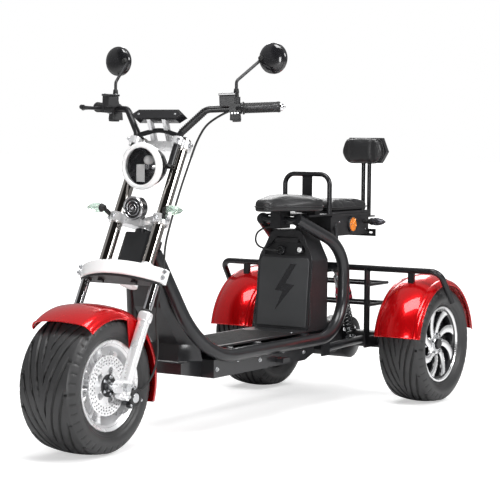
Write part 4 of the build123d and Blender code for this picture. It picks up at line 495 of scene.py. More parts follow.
# Springs: a wound coil round each damper
def spring(shape, start, end, radius, wire, winds):
    """Winds a wire between two points, its radii in millimetres."""
    axis = (end - start).normalized()
    side = axis.orthogonal().normalized()
    other = axis.cross(side)
    steps = int(winds * 20)
    points = []
    for k in range(steps + 1):
        turn = TURN * winds * k / steps
        along = start + (end - start) * (k / steps)
        points.append(along + (side * cos(turn) + other * sin(turn)) * radius / 1000)
    shape.tube(points, wire, 8)


shock_foot = rear(SHOCK_FOOT[0], 0, SHOCK_FOOT[1])
shock_run = (rear(SHOCK_TOP[0], 0, SHOCK_TOP[1]) - shock_foot).normalized()


def shock_base(side):
    """The lower eye of the shock on one side."""
    return shock_foot + Vector((0, side * SHOCK_SIDE / 1000, 0))


coils = Shape()
for side in (1, -1):
    foot = shock_base(side)
    spring(coils, foot + shock_run * 0.048, foot + shock_run * 0.186, 19.5, 3.4, 9.5)
coils.piece("shock_coils", "frame", "black_metal", ("shock_springs",), sharp=60)


def ease(mesh, rounds):
    """Evens a mesh out by drawing each point towards its neighbours."""
    work = bmesh.new()
    work.from_mesh(mesh)
    for _ in range(rounds):
        bmesh.ops.smooth_vert(work, verts=work.verts, factor=0.5, use_axis_x=True, use_axis_y=True,
                              use_axis_z=True)
    work.to_mesh(mesh)
    work.free()


# Soft parts: a crowned form is blown up a little as cloth, then its seam is drawn in and piped
VOXEL = 0.0045
CLOTH_FRAMES, CLOTH_PRESSURE = 20, 4
HELD_HEIGHT = 0.006
SEAM_LEVEL, SEAM_HALF, SEAM_PULL = 0.36, 0.006, 0.0025
CHANNEL_HALF, CHANNEL_DEPTH = 0.006, 0.004
WAIST, PIPING_RADIUS = 0.985, 2.4


def cushion(name, outline, place, up, bottom, height, crown, roll, cap, body, node, lift=None, channels=()):
    """A stuffed pad over a flat outline, in millimetres; place turns (flat, rise) into a point."""
    count = len(outline)
    middle = Vector((sum(p[0] for p in outline) / count, sum(p[1] for p in outline) / count))
    levels = [(0.95, 0.0), (WAIST, 0.1), (WAIST, 0.42), (0.98, 0.6)]
    for k in range(1, 7):
        turn = pi / 2 * k / 6
        levels.append((0.98 - roll * (1 - cos(turn)), 0.6 + 0.36 * sin(turn)))
    inner = levels[-1][0]
    for k in range(1, 8):
        levels.append((inner * (1 - k / 7.6), 0.96 + crown * (1 - (1 - k / 7) ** 2)))

    def at(flat, share, level):
        flat = middle + (Vector(flat) - middle) * share
        rise = bottom + height * level
        if lift:
            rise += lift(flat.x, flat.y, level)
        return place(flat, rise)

    shape = Shape()
    shape.loft([[at(p, share, level) for p in outline] for share, level in levels])
    made = shape.piece(name, body, "leather", (node,), sharp=180)
    for other in bpy.context.selected_objects:
        other.select_set(False)
    bpy.context.view_layer.objects.active = made
    made.select_set(True)
    made.data.remesh_voxel_size = VOXEL
    bpy.ops.object.voxel_remesh()
    ease(made.data, 8)
    floor_level = place(middle, bottom).dot(up)
    held = made.vertex_groups.new(name="held")
    rest = [v.co.copy() for v in made.data.vertices]
    held.add([i for i, v in enumerate(rest) if v.dot(up) < floor_level + HELD_HEIGHT], 1.0, "REPLACE")
    cloth = made.modifiers.new("cloth", "CLOTH")
    cloth.settings.use_pressure = True
    cloth.settings.uniform_pressure_force = CLOTH_PRESSURE
    cloth.settings.effector_weights.gravity = 0
    cloth.settings.vertex_group_mass = "held"
    for step in range(1, CLOTH_FRAMES + 1):
        scene.frame_set(step)
    swollen = made.evaluated_get(bpy.context.evaluated_depsgraph_get()).data
    after = [v.co.copy() for v in swollen.vertices]
    made.modifiers.remove(cloth)
    scene.frame_set(1)
    centre = sum(rest, Vector()) / len(rest)
    seam_level = place(middle, bottom + height * SEAM_LEVEL).dot(up)
    for vert, old, new in zip(made.data.vertices, rest, after):
        move = new - old
        if move.length > cap / 1000:
            move = move.normalized() * (cap / 1000)
        spot = old + move
        near = (spot.dot(up) - seam_level) / SEAM_HALF
        away = spot - centre
        away -= up * away.dot(up)
        if abs(near) < 2:
            spot -= away.normalized() * SEAM_PULL * exp(-near * near)
        for start, run in channels:
            gap = (spot - start) - run * (spot - start).dot(run)
            gap -= up * gap.dot(up)
            if spot.dot(up) > seam_level + SEAM_HALF:
                spot -= up * CHANNEL_DEPTH * exp(-(gap.length / CHANNEL_HALF) ** 2)
        vert.co = spot
    ease(made.data, 3)
    made.data.shade_smooth()
    smooth = made.modifiers.new("smooth", "SUBSURF")
    smooth.levels = 1
    smooth.render_levels = 1
    piping = Shape()
    piping.bead([at(p, WAIST, SEAM_LEVEL) for p in outline], PIPING_RADIUS, up)
    piping.piece(name + "_piping", body, "leather", sharp=180)


def level_place(flat, rise):
    return rear(flat.x, flat.y, rise)


def back_place(flat, rise):
    return rear(rise, flat.x, flat.y)


SADDLE = [(586, 0), (577, 30), (546, 42), (500, 60), (450, 91), (400, 115), (355, 120), (315, 102), (294, 50)]
saddle_line = SADDLE + [(290, 0)] + [(x, -y) for x, y in reversed(SADDLE[1:])]


def saddle_lift(x, y, level):
    """The saddle's tail rises and its nose drops a little."""
    return max(0.0, level - 0.5) * (0.00026 * (430 - x) * abs(430 - x) + 4)


cushion("saddle_cushion", rounded(saddle_line), level_place, Z_AXIS, 712, 49, 0.06, 0.2, 6,
        "frame", "saddle", saddle_lift)
PAD = [(200, 58), (200, -58), (186, -73), (60, -74), (-56, -73), (-69, -58), (-69, 58), (-56, 73), (60, 74),
       (186, 73)]
cushion("passenger_cushion", rounded(PAD), level_place, Z_AXIS, 703.5, 38, 0.1, 0.12, 5,
        "trunk_lid", "passenger_pad", None, [(rear(110, 0, 720), LEFT), (rear(20, 0, 720), LEFT)])
BACK = [(0, 880), (62, 882), (84, 906), (90, 925), (84, 946), (68, 972), (0, 976), (-68, 972), (-84, 946),
        (-90, 925), (-84, 906), (-62, 882)]
cushion("backrest_cushion", rounded(BACK), back_place, X_AXIS, -178.5, 37, 0.12, 0.16, 5,
        "frame", "backrest_pad", None, [(rear(-150, 46, 925), Z_AXIS), (rear(-150, -46, 925), Z_AXIS)])


# Wheels: a barrel with rolled lips, a hub and crowned cast spokes
BARREL = ((0, 139), (-2, 141), (-6, 141), (-8, 136), (-10, 127))
FRONT_SPOKES, REAR_SPOKES, WHEEL_BOLTS = 5, 8, 5


def barrel(shape, middle, half):
    """A rim's barrel about the wheel's axis, sizes in millimetres."""
    left = [(half + along, out) for along, out in BARREL]
    right = [(-half - along, out) for along, out in reversed(BARREL)]
    floor = [(half - 30, 117), (half - 12, 121), (half - 3, 133)]
    inside = [(-along, out) for along, out in reversed(floor)] + floor
    shape.lathe(left + right + inside, middle, LEFT, 96)


def spoke_section(depth):
    """Places across a spoke, in half widths, and how far each is behind its face."""
    return ((-1, depth), (-1, 7), (-0.82, 2), (-0.4, 0), (0, -1), (0.4, 0), (0.82, 2), (1, 7), (1, depth))


def spoke(shape, middle, base, sweep, inner, outer, widths, face, section, side, dish=0.0, steps=14):
    """One spoke; sweep bends it round and dish lifts it as it goes out."""
    rings = []
    for k in range(steps + 1):
        t = k / steps
        r = inner + (outer - inner) * t
        turn = base + sweep * t ** 1.4
        out = wheel_way(turn)
        cross = Vector((-sin(turn), 0, cos(turn)))
        half = widths[0] + (widths[1] - widths[0]) * t + widths[2] * max(0.0, t - 0.8) ** 2
        ring = []
        for across, level in section:
            place = out * r + cross * (half * across) + LEFT * (side * (face + dish * t - level))
            ring.append(middle + place / 1000)
        rings.append(ring)
    shape.loft(rings)


front_hub = Vector((FRONT_X, 0, AXLE_Z))
cast = Shape()
barrel(cast, front_hub, FRONT_RIM_HALF)
cast.lathe([(-78, 14), (-78, 30), (-74, 34), (26, 34), (34, 42), (54, 42), (62, 34), (76, 34), (80, 30),
            (80, 14)], front_hub, LEFT, 48)
for turn in turns(FRONT_SPOKES):
    for step in (-1, 1):
        spoke(cast, front_hub, turn + step * 0.2, step * 0.04, 34, 121, (11, 10, 150), 60,
              spoke_section(28), 1)
cast.piece("front_rim_cast", "front_wheel", "alloy", ("front_rim",), sharp=40, finish="cast_silver")

fittings = Shape()
for turn in turns(WHEEL_BOLTS, 0.5):
    fittings.hexagon(front_hub + wheel_way(turn) * 0.027 + LEFT * 0.088, LEFT, 4.5, 6)
fittings.rod(front_hub + Vector((0.117, 0.07, 0)), front_hub + Vector((0.1, 0.08, 0)), 3, 10)
fittings.piece("front_wheel_bolts", "front_wheel", "steel", bevel=0.4)


def plate_of(shape, loops, place, thickness, normal):
    """A flat plate: the first loop of points is its edge, the others are its holes."""
    work = bmesh.new()
    edges = []
    for loop in loops:
        verts = [work.verts.new((p[0], p[1], 0)) for p in loop]
        edges += [work.edges.new((verts[k - 1], verts[k])) for k in range(len(verts))]
    bmesh.ops.triangle_fill(work, use_beauty=True, use_dissolve=False, edges=edges, normal=(0, 0, 1))
    grown = bmesh.ops.extrude_face_region(work, geom=work.faces[:])
    for vert in grown["geom"]:
        if isinstance(vert, bmesh.types.BMVert):
            vert.co.z = 1
    work.verts.index_update()
    points = [place(v.co.x, v.co.y) + normal * (thickness / 1000 * v.co.z) for v in work.verts]
    shape.take(points, [[v.index for v in face.verts] for face in work.faces])
    work.free()


def circle(x, y, radius, steps):
    return [(x + radius * cos(turn), y + radius * sin(turn)) for turn in turns(steps)]


DISC_RADIUS, DISC_BORE, DISC_HOLE, DISC_WINDOW = 93, 19, 3.1, 13
loops = [circle(0, 0, DISC_RADIUS, 96), circle(0, 0, DISC_BORE, 32)]
for radius, count, shift in ((86, 36, 0), (77, 36, 0.5), (68, 30, 0)):
    for turn in turns(count, shift):
        loops.append(circle(radius * cos(turn), radius * sin(turn), DISC_HOLE, 10))
for turn in turns(WHEEL_BOLTS, 0.5):
    loops.append(circle(46 * cos(turn), 46 * sin(turn), DISC_WINDOW, 24))
disc = Shape()
plate_of(disc, loops, lambda x, z: front_hub + Vector((x / 1000, 0.08, z / 1000)), 4, LEFT)
disc.piece("front_disc_plate", "front_wheel", "steel", ("front_disc",), sharp=30, finish="cast_silver")
# Painted shade: a black ring just behind the disc's holes makes them read dark
turned([(80.3, 63), (80.3, 91), (81.3, 91), (81.3, 63)], front_hub, LEFT, 96,
       "disc_backing", "front_wheel", "black_metal", sharp=30)
turned([(84.2, 19), (84.2, 35), (87, 35), (89, 31), (89, 19)], front_hub, LEFT, 48,
       "disc_carrier", "front_wheel", "black_metal", sharp=30)

FACE_SECTION = ((-0.94, 3), (-0.94, 0.4), (-0.8, -0.6), (0, -1.4), (0.8, -0.6), (0.94, 0.4), (0.94, 3))
for side, name in SIDES:
    body = "rear_wheel_" + name
    middle = Vector((REAR_X, side * WHEEL_Y, AXLE_Z))
    outward = LEFT * side
    cast, bright = Shape(), Shape()
    barrel(cast, middle, REAR_RIM_HALF)
    cast.lathe([(-60, 17), (-60, 32), (-56, 34), (24, 34), (30, 50), (43, 50), (49, 44), (51, 30), (51, 17)],
               middle, outward, 48)
    for turn in turns(REAR_SPOKES):
        spoke(cast, middle, turn, 0.45 * side, 40, 121, (12, 19, 150), 52, spoke_section(22), side, 8)
        spoke(bright, middle, turn, 0.45 * side, 42, 125, (12, 19, 150), 53, FACE_SECTION, side, 8)
    bright.lathe([(42, 50.6), (43.6, 50.6), (50, 44.5), (52.4, 30), (52.4, 17.2), (49, 17.2)],
                 middle, outward, 64)
    bright.lathe([(63, 141.3), (69, 141.4), (71.6, 139), (71.6, 134), (69, 131), (66, 129.6), (66, 134)],
                 middle, outward, 96)
    cast.piece("rear_rim_cast_" + name, body, "black_gloss", ("rear_rim_" + name,), sharp=40)
    bright.piece("rear_rim_face_" + name, body, "chrome", sharp=40, finish="polished")
    # Painted shade: a black disc just behind the spokes fills the windows between them with dark
    turned([(30, 45), (30, 117.5), (32, 117.5), (32, 45)], middle, outward, 64,
           "rear_windows_" + name, body, "black_gloss", sharp=30)
    nuts = Shape()
    for turn in turns(WHEEL_BOLTS):
        nuts.hexagon(middle + wheel_way(turn + 0.3) * 0.036 + outward * 0.0505, outward, 5, 9)
    nuts.lathe([(50, 20), (50, 28), (54, 28), (57, 25), (57, 20)], middle, outward, 40)
    nuts.rod(middle + Vector((0.118, side * 0.05, 0)), middle + Vector((0.1, side * 0.06, 0)), 3, 10)
    nuts.piece("rear_wheel_nuts_" + name, body, "steel", bevel=0.4)


# Fender hems: a rolled bead round each edge
def hem_line(middle, half, hem, inset, waist, crown, top, first, last):
    """A fender's edge round its sides and one end, and its line across the other; angles in degrees."""
    section = arc((-half, hem), (-half + waist[0], waist[1]), (-half + inset, crown), 8)
    section += arc((-half + inset, crown), (0, top), (half - inset, crown), 16)
    section += arc((half - inset, crown), (half - waist[0], waist[1]), (half, hem), 8)
    section.append((half, hem))

    def at(across, out, turn):
        angle = radians(turn)
        return middle + Vector((out * cos(angle), across, out * sin(angle))) / 1000

    side_turns = [first + (last - first) * k / 40 for k in range(40, 0, -1)]
    line = [at(-half, hem, turn) for turn in side_turns]
    line += [at(across, out, first) for across, out in section]
    line += [at(half, hem, turn) for turn in reversed(side_turns)]
    return line, [at(across, out, last) for across, out in reversed(section)]


HEM = 2.2
hems = Shape()
hems.tube(hem_line(front_hub, 113.5, 206, 28, (8, 226), 238, 246, 56, 106)[0], HEM, 10)
hems.piece("front_fender_hem", "steering", "red_paint", sharp=180)
for side, name in SIDES:
    hems = Shape()
    middle = Vector((REAR_X, side * WHEEL_Y, AXLE_Z))
    around, back = hem_line(middle, 92, 222, 22, (5.5, 233.75), 240, 258, 10, 170)
    hems.tube(around + back[1:], HEM, 10)
    hems.piece("rear_fender_hem_" + name, "frame", "red_paint", sharp=180)

# Headlamp: faceted bowl, bulb with its shield, domed glass and a rolled ring; the shield's white slab is a
# painted reflection, the bright patch inside the lamp
LAMP = Vector((FRONT_X - 0.28, 0, 0.881))
profile = []
for k in range(13):
    t = k / 12
    profile.append((-16 - 44 * t, 17 + 44 * sqrt(1 - t * t)))
profile += [(along - 0.8, out - 0.4) for along, out in reversed(profile)]
# The bowl's chrome is darkened, a painted shade inside the lamp
turned(profile, LAMP, X_AXIS, 40, "headlamp_bowl", "steering", "chrome", sharp=7, finish="bowl_chrome_painted_shade")
turned([(-61, 0.5), (-61, 16), (-56, 14), (-52, 8), (-36, 8), (-33, 13), (-27, 14), (-22, 10), (-20, 0.5)],
       LAMP, X_AXIS, 32, "headlamp_bulb", "steering", "chrome", sharp=30)
# A bulb shield whose pale white slab is a painted reflection inside the lamp
shield = Shape()
shield.slab(LAMP + Vector((-0.014, -0.012, -0.022)), (3, 32, 56))
shield.lathe([(-44, 0.3), (-44, 15), (-28, 15), (-22, 12), (-18, 6), (-17, 0.3)],
             LAMP + Vector((0.004, 0.008, 0.02)), X_AXIS, 32)
shield.piece("headlamp_shield_glint", "steering", "white_alloy", bevel=1)
GLASS_RADIUS = 63.6
dome = []
for k in range(11):
    turn = pi / 2 * k / 10
    dome.append((-7 + 9 * cos(turn), GLASS_RADIUS * sin(turn) + 0.05))
inner_dome = [(along - 4, out * 0.985) for along, out in reversed(dome)]
turned(dome + [(-11, GLASS_RADIUS)] + inner_dome, LAMP, X_AXIS, 64,
       "headlamp_glass", "steering", "lens", ("headlamp_lens",), sharp=40)
turned([(-16, 64), (-16, 73), (-12, 75), (-2, 76), (5, 74), (9, 70), (10, 66), (8, 61), (4, 59), (-2, 62),
        (-6, 64)], LAMP, X_AXIS, 96, "headlamp_rim", "steering", "white_alloy", ("headlamp_ring",), sharp=55)

# Horn: rings round a domed middle
HORN = Vector((FRONT_X - 0.238, 0, 0.749))
horn = Shape()
for inner, outer, rise in ((31, 38, 5), (21, 25, 4), (11.5, 14.5, 4)):
    horn.lathe([(-3, inner), (-3, outer), (rise - 2, outer), (rise, outer - 1.5), (rise, inner + 1.5),
                (rise - 2, inner)], HORN, X_AXIS, 64)
horn.lathe([(-1, 0.2), (-1, 6), (4, 6), (8, 4), (9, 0.2)], HORN, X_AXIS, 24)
horn.piece("horn_rings", "steering", "chrome", sharp=40)
turned([(-2, 0.2), (-2, 32), (1.2, 31), (-0.2, 25), (1.8, 20), (0.2, 15), (2.6, 10), (2.6, 0.2)],
       HORN, X_AXIS, 64, "horn_cone", "steering", "black_gloss", sharp=50)

# Bars: ribbed grips with bright tips, brake reservoirs, switch blocks, mirror backs and boots, levers
BAR_BEND, BAR_TIP = (30, 156, 944), (-60, 361, 1002)


def bar_point(side, along, ahead, rise):
    """A point in millimetres out along a bar's end, ahead and above, with the bar's axes."""
    bend = fork(BAR_BEND[0], side * BAR_BEND[1], BAR_BEND[2])
    run = (fork(BAR_TIP[0], side * BAR_TIP[1], BAR_TIP[2]) - bend).normalized()
    front = Z_AXIS.cross(run).normalized() * -side
    top = (Z_AXIS - run * run.dot(Z_AXIS)).normalized()
    return bend + (run * along + front * ahead + top * rise) / 1000, (run, front, top)


BAR_REACH, GRIP_LENGTH, GRIP_RIBS, GRIP_STEP = 231.3, 115, 19, 5.4
RESERVOIR = (72, 30)
LEVER = ((96, 38, 0), (116, 56, -1), (150, 64, -2), (196, 62, -3), (222, 60, -3))
grips, tips, blocks, lids, screws = Shape(), Shape(), Shape(), Shape(), Shape()
domes, faces, boots, blades = Shape(), Shape(), Shape(), Shape()
for side in (1, -1):
    end, (run, front, top) = bar_point(side, BAR_REACH, 0, 0)
    root = -GRIP_LENGTH
    profile = [(root, 11.2), (root, 20), (root + 4, 20.5), (root + 7, 16)]
    for k in range(GRIP_RIBS):
        along = root + 9 + k * GRIP_STEP
        profile += [(along, 16.8), (along + 3.6, 16.8), (along + 4, 15.6), (along + 5, 15.6)]
    profile += [(-4, 17.5), (3, 17.5), (6, 14), (6, 11.2)]
    grips.lathe(profile, end, run, 32)
    tips.lathe([(4, 0.3), (4, 13), (9, 13.5), (13, 11), (16, 6), (20, 5), (22, 0.3)], end, run, 28)
    middle, axes = bar_point(side, 92, 0, -16)
    blocks.slab(middle, (34, 40, 44), axes, 0.82)
    blocks.slab(bar_point(side, 96, 4, -36)[0], (26, 30, 14), axes, 0.9)
    blocks.slab(bar_point(side, *RESERVOIR, 24)[0], (50, 38, 36), axes)
    lids.slab(bar_point(side, *RESERVOIR, 45)[0], (54, 42, 7), axes)
    for a, b in ((-18, -12), (18, 12)):
        screws.hexagon(bar_point(side, RESERVOIR[0] + a, RESERVOIR[1] + b, 48.5)[0], top, 2.6, 2)
    for k in range(3):
        screws.rod(bar_point(side, 84 + 9 * k, 19, -14)[0], bar_point(side, 84 + 9 * k, 25, -14)[0], 3.2, 12)
    face = Vector((FRONT_X - 0.57, side * 0.31, 1.23))
    domes.lathe([(-8, 47), (-8, 50), (2, 50), (8, 46), (14, 36), (18, 22), (19.5, 8), (19.5, 0.2), (-5, 0.2),
                 (-5, 47)], face, X_AXIS, 56)
    faces.lathe([(-7.6, 0.2), (-7.6, 47), (-6.6, 47), (-6.6, 0.2)], face, X_AXIS, 56)
    foot = bar_point(side, 95.3, 0, 0)[0] + Z_AXIS * 0.017
    boots.lathe([(-4, 0.3), (-4, 12), (6, 12), (8, 9.5), (30, 8), (34, 9), (46, 7.5), (48, 0.3)],
                foot, Z_AXIS, 20)
    joint = face - LEFT * (side * 0.036) + X_AXIS * 0.012
    boots.lathe([(-10, 0.3), (-9, 8), (0, 11), (8, 8), (10, 0.3)], joint, X_AXIS, 20)
    line = curve_points([bar_point(side, *place)[0] for place in LEVER], 8)
    count = len(line)
    blades.tube(line, [8 - 3 * sin(pi * k / count) for k in range(count)], 12)
    blades.lathe([(-8, 0.3), (-6, 6), (0, 9), (6, 6), (8, 0.3)], line[-1], run, 16)
grips.piece("grip_sleeves", "steering", "rubber", ("grips",), sharp=40)
tips.piece("bar_tips", "steering", "chrome", sharp=40)
blocks.piece("switch_blocks", "steering", "black_plastic", bevel=3, segments=3)
lids.piece("reservoir_lids", "steering", "black_gloss", bevel=1.6, segments=3)
screws.piece("control_screws", "steering", "steel", bevel=0.3)
domes.piece("mirror_backs", "steering", "black_gloss", sharp=50)
faces.piece("mirror_glass", "steering", "chrome", sharp=30, finish="mirror")
boots.piece("mirror_boots", "steering", "rubber", sharp=50)
blades.piece("lever_blades", "steering", "black_metal", sharp=60)

wrap = Shape()
spring(wrap, fork(33, 86, 858), fork(30, 151, 938), 11.4, 1.5, 15)
wrap.piece("bar_wrap", "steering", "rubber", sharp=60)

# Display cover, fork collars, seals, bolts and the caliper
cover = Shape()
outline = [(-98, 0), (-77, 15), (77, 15), (98, 0), (77, -15), (-77, -15)]
cover.loft([[fork(69.2, y, DISPLAY + z) for y, z in outline],
            [fork(72.5, y * 0.985, DISPLAY + z * 0.94) for y, z in outline]])
cover.piece("display_cover", "steering", "black_plastic", bevel=1)
seals, collars, bolts = Shape(), Shape(), Shape()
for side in (1, -1):
    leg = fork(0, side * LEG_SIDE, 0)
    seals.lathe([(249, 14.3), (249, 19), (255, 18.5), (258, 15.5), (258, 14.3)], leg, UP, 32)
    collars.lathe([(219, 19.2), (222, 22.5), (234, 23), (246, 22.5), (249.3, 20), (249.3, 19.2)], leg, UP, 40)
    collars.lathe([(-32, 12), (-32, 18), (-28, 21), (-22, 21.5), (-18, 19.2), (-18, 12)], leg, UP, 40)
    collars.slab(fork(-4, side * LEG_SIDE, -2), (34, 31, 58), (FORWARD, LEFT, UP), 0.85)
    tube = fork(0, side * TUBE_SIDE, 0)
    collars.lathe([(398.2, 19.2), (398.2, 25), (404, 25), (407, 22), (412, 20.5), (412, 19.2)], tube, UP, 40)
    outward = LEFT * side
    for ahead, left, up, way, radius, height in (
        (0, TUBE_SIDE, 848, UP, 11, 8),
        (28, TUBE_SIDE, MID_YOKE, FORWARD, 5.5, 6),
        (6, YOKE_SIDE, MID_YOKE, outward, 5.5, 7),
        (6, YOKE_SIDE, TOP_YOKE, outward, 5.5, 12),
        (50, 98, TOP_YOKE, (FORWARD + outward).normalized(), 4.5, 6),
        (72.5, 72, DISPLAY, FORWARD, 3, 2),
        (-14, 152, -20, outward, 5, 6),
        (-14, 152, 16, outward, 5, 6),
        (10, 163, 366, outward, 6, 6),
        (10, 163, 386, outward, 6, 6),
    ):
        bolts.hexagon(fork(ahead, side * left, up), way, radius, height)
seals.piece("dust_seals", "steering", "rubber", sharp=40)
collars.piece("leg_collars", "steering", "alloy", bevel=1.2, sharp=40, finish="cast_silver")
grip_half = Shape()
CALIPER = fork(-84, 114, 0)
grip_half.lathe([(-4, 0.3), (-4, 29), (9, 30), (13, 27), (13, 19), (9, 18), (9, 0.3)], CALIPER, LEFT, 40)
for turn in turns(3):
    lug = CALIPER + (FORWARD * cos(turn + 0.9) + UP * sin(turn + 0.9)) * 0.031
    grip_half.rod(lug - LEFT * 0.003, lug + LEFT * 0.011, 8, 20)
    bolts.hexagon(lug + LEFT * 0.011, LEFT, 3.6, 3)
grip_half.piece("caliper_half", "steering", "black_metal", sharp=40)
bolts.lathe([(8, 0.3), (8, 16), (12, 16), (14, 14), (14, 0.3)], CALIPER, LEFT, 32)
bolts.piece("fork_bolts", "steering", "steel", bevel=0.4)

# Dark liner under the lower yoke, with its clips: partly the black structure under it, partly painted shade
# that hides the lit white underside
liner = Shape()
edge = [(3 + 56 * (1 - (y / 156) ** 2), y) for y in range(-154, 155, 11)]
edge += [(-14, 154), (-14, -154)]
liner.loft([[fork(u, v, 351.6) for u, v in edge], [fork(u * 0.97, v, 344) for u, v in edge]])
for y in (-110, -60, 70):
    liner.slab(fork(20, y, 342), (20, 16, 12), (FORWARD, LEFT, UP), 0.8)
liner.piece("yoke_liner_shade", "steering", "black_plastic", bevel=1)

# Turn signals: ribbed stalks and dark cups round the lenses' roots
RIB_STEP = 3.4
SIGNALS = (
    ("front", "steering", lambda side: (fork(14, side * 104, 569), fork(40, side * 121, 582))),
    ("rear", "frame", lambda side: (rear(-40, side * 76, 660), rear(-40, side * 101, 660))),
)
for label, body, ends in SIGNALS:
    stalks = Shape()
    for side in (1, -1):
        start, end = ends(side)
        length = (end - start).length * 1000
        profile = [(0, 0.3), (0, 9), (3, 9), (3.5, 6.6)]
        for k in range(int((length - 10) / RIB_STEP)):
            rib = RIB_STEP * k
            profile += [(4 + rib, 7.6), (5.8 + rib, 7.6), (6 + rib, 6), (7.2 + rib, 6)]
        profile += [(length - 3, 8), (length - 2, 0.3)]
        stalks.lathe(profile, start, end - start, 24)
        root = end - LEFT * (side * 0.002)
        stalks.lathe([(-3, 0.3), (-3, 9), (4, 12), (10, 14.2), (12, 14.2), (12, 0.3)], root, LEFT * side, 32)
    stalks.piece("signal_stalks_" + label, body, "rubber", sharp=40)

# Battery: raised cover, edge bead, a plain zigzag, port and lock
LEAN = atan2(36, 356)
FACE_UP = Vector((-sin(LEAN), 0, cos(LEAN)))
FACE_OUT = Vector((cos(LEAN), 0, sin(LEAN)))
CASE_FOOT = rear(438, 0, 285.3)
PORT, LOCK = (-24, 284), (58, 288)


def case_point(left, rise, out):
    """A point in millimetres left, up and out on the battery's front face."""
    return CASE_FOOT + (LEFT * left + FACE_UP * rise + FACE_OUT * out) / 1000


COVER = [(-103, 9), (103, 9), (103, 246), (96, 258), (-96, 258), (-103, 246)]
cover = Shape()
cover.loft([[case_point(y, z, out) for y, z in COVER] for out in (-1, 3)])
cover.piece("battery_cover", "frame", "black_plastic", bevel=2, segments=3, finish="case_grey")
beads = Shape()
CASE_EDGE = [(-111, 4), (0, 2.5), (111, 4), (111.5, 130), (111, 248), (86, 302), (57, 354), (0, 355),
             (-57, 354), (-86, 302), (-111, 248), (-111.5, 130)]
beads.bead([case_point(y, z, -1.5) for y, z in rounded(CASE_EDGE)], 2.6, FACE_OUT)
beads.piece("battery_bead", "frame", "black_metal", sharp=180)
ZIGZAG = [(26, 236), (-34, 140), (0, 136), (-30, 66), (46, 160), (8, 164), (50, 236)]
sign = Shape()
sign.loft([[case_point(y, z, out) for y, z in ZIGZAG] for out in (2.5, 3.8)])
sign.piece("battery_zigzag", "frame", "black_gloss", sharp=30)
port = Shape()
port.lathe([(-14, 0.3), (-14, 17), (1, 17), (2.4, 15.5), (2.4, 11), (-6, 9.5), (-6, 0.3)],
           case_point(*PORT, 0), FACE_OUT, 32)
port.lathe([(-14, 10), (-14, 15), (1.4, 15), (2.4, 13.6), (2.4, 10)], case_point(*LOCK, 0), FACE_OUT, 32)
port.piece("battery_rings", "frame", "black_gloss", sharp=30)
lock = Shape()
lock.lathe([(-10, 0.3), (-10, 9.4), (2, 9.4), (3.4, 8), (3.4, 0.3)], case_point(*LOCK, 0), FACE_OUT, 28)
lock.lathe([(-10, 0.3), (-10, 3), (-2, 3), (-1.4, 2), (-1.4, 0.3)], case_point(*PORT, 0), FACE_OUT, 16)
lock.piece("battery_lock", "frame", "white_alloy", sharp=30)
# Painted shade: a thin black strip on the lock's face stands in for its dark keyway
slot = Shape()
slot.slab(case_point(*LOCK, 3.6), (1.6, 9, 0.6), (LEFT, FACE_UP, FACE_OUT))
slot.piece("lock_slot_shade", "frame", "black_gloss", bevel=0.1)

# Floor board ribs, and the bolts of the belly, box, floor board and shocks
RIB_COUNT, RIB_GAP = 23, 8.6
ribs = Shape()
for k in range(RIB_COUNT):
    y = (k - RIB_COUNT // 2) * RIB_GAP
    ribs.slab(rear(788, y, 285.6), (500 - 0.35 * abs(y), 3.4, 1.8))
ribs.piece("floor_ribs", "frame", "rubber", bevel=0.5)
bolts = Shape()
for side in (1, -1):
    for x, z in ((793, 218), (1057, 214), (500, 216), (640, 234), (930, 234)):
        bolts.hexagon(rear(x, side * 134, z), LEFT * side, 6, 6)
    for x, z in ((150, 664), (-50, 630)):
        bolts.hexagon(rear(x, side * 75, z), LEFT * side, 3.4, 3)
    for x, y in ((1046, 96), (530, 100), (1046, 34)):
        bolts.hexagon(rear(x, side * y, 285), Z_AXIS, 4, 2.4)
    for x, z in (SHOCK_TOP, SHOCK_FOOT):
        bolts.hexagon(rear(x, side * (SHOCK_SIDE + 17), z), LEFT * side, 7, 8)
        bolts.hexagon(rear(x, side * (SHOCK_SIDE - 17), z), LEFT * -side, 7, 8)
bolts.piece("frame_bolts", "frame", "steel", bevel=0.4)

# Shocks: red spring collars, and the bands of springs and canisters
collars, bands = Shape(), Shape()
shock_back = Vector((-shock_run.z, 0, shock_run.x))
for side in (1, -1):
    foot = shock_base(side)
    collars.lathe([(184, 15.3), (184, 23.6), (187, 24.4), (196, 24.4), (199, 22), (215, 18), (226, 17),
                   (226, 15.3)], foot, shock_run, 36)
    low = foot + shock_back * 0.042
    bands.lathe([(150, 0.3), (149, 12), (151, 15.2), (156, 15.6), (156, 0.3)], low, shock_run, 28)
    for along in (172, 206):
        bands.lathe([(along, 14), (along, 16.2), (along + 8, 16.2), (along + 8, 14)], low, shock_run, 28)
    bands.lathe([(30, 15.2), (30, 23.6), (33, 24.4), (41, 24.4), (44, 22), (44, 15.2)], foot, shock_run, 36)
collars.piece("shock_collars", "frame", "red_anodised", sharp=40)
bands.piece("shock_bands", "frame", "black_metal", sharp=40)

# Reflectors: dark cups with a raised star of facets
cups, cross = Shape(), Shape()
for side in (1, -1):
    spot = rear(60, side * 75, 652)
    cups.lathe([(0, 0.3), (0, 30), (7, 30), (9, 27.5), (9, 25.5), (4, 25.5), (4, 0.3)], spot, LEFT * side, 40)
    face = spot + LEFT * side * 0.0085
    for turn in turns(6):
        out = wheel_way(turn + 0.2)
        cross.rod(face + out * 0.004, face + out * 0.0245, 1.2, 8, 3.2)
cups.piece("reflector_cups", "frame", "black_plastic", sharp=30)
cross.piece("reflector_facets", "frame", "amber", sharp=30)

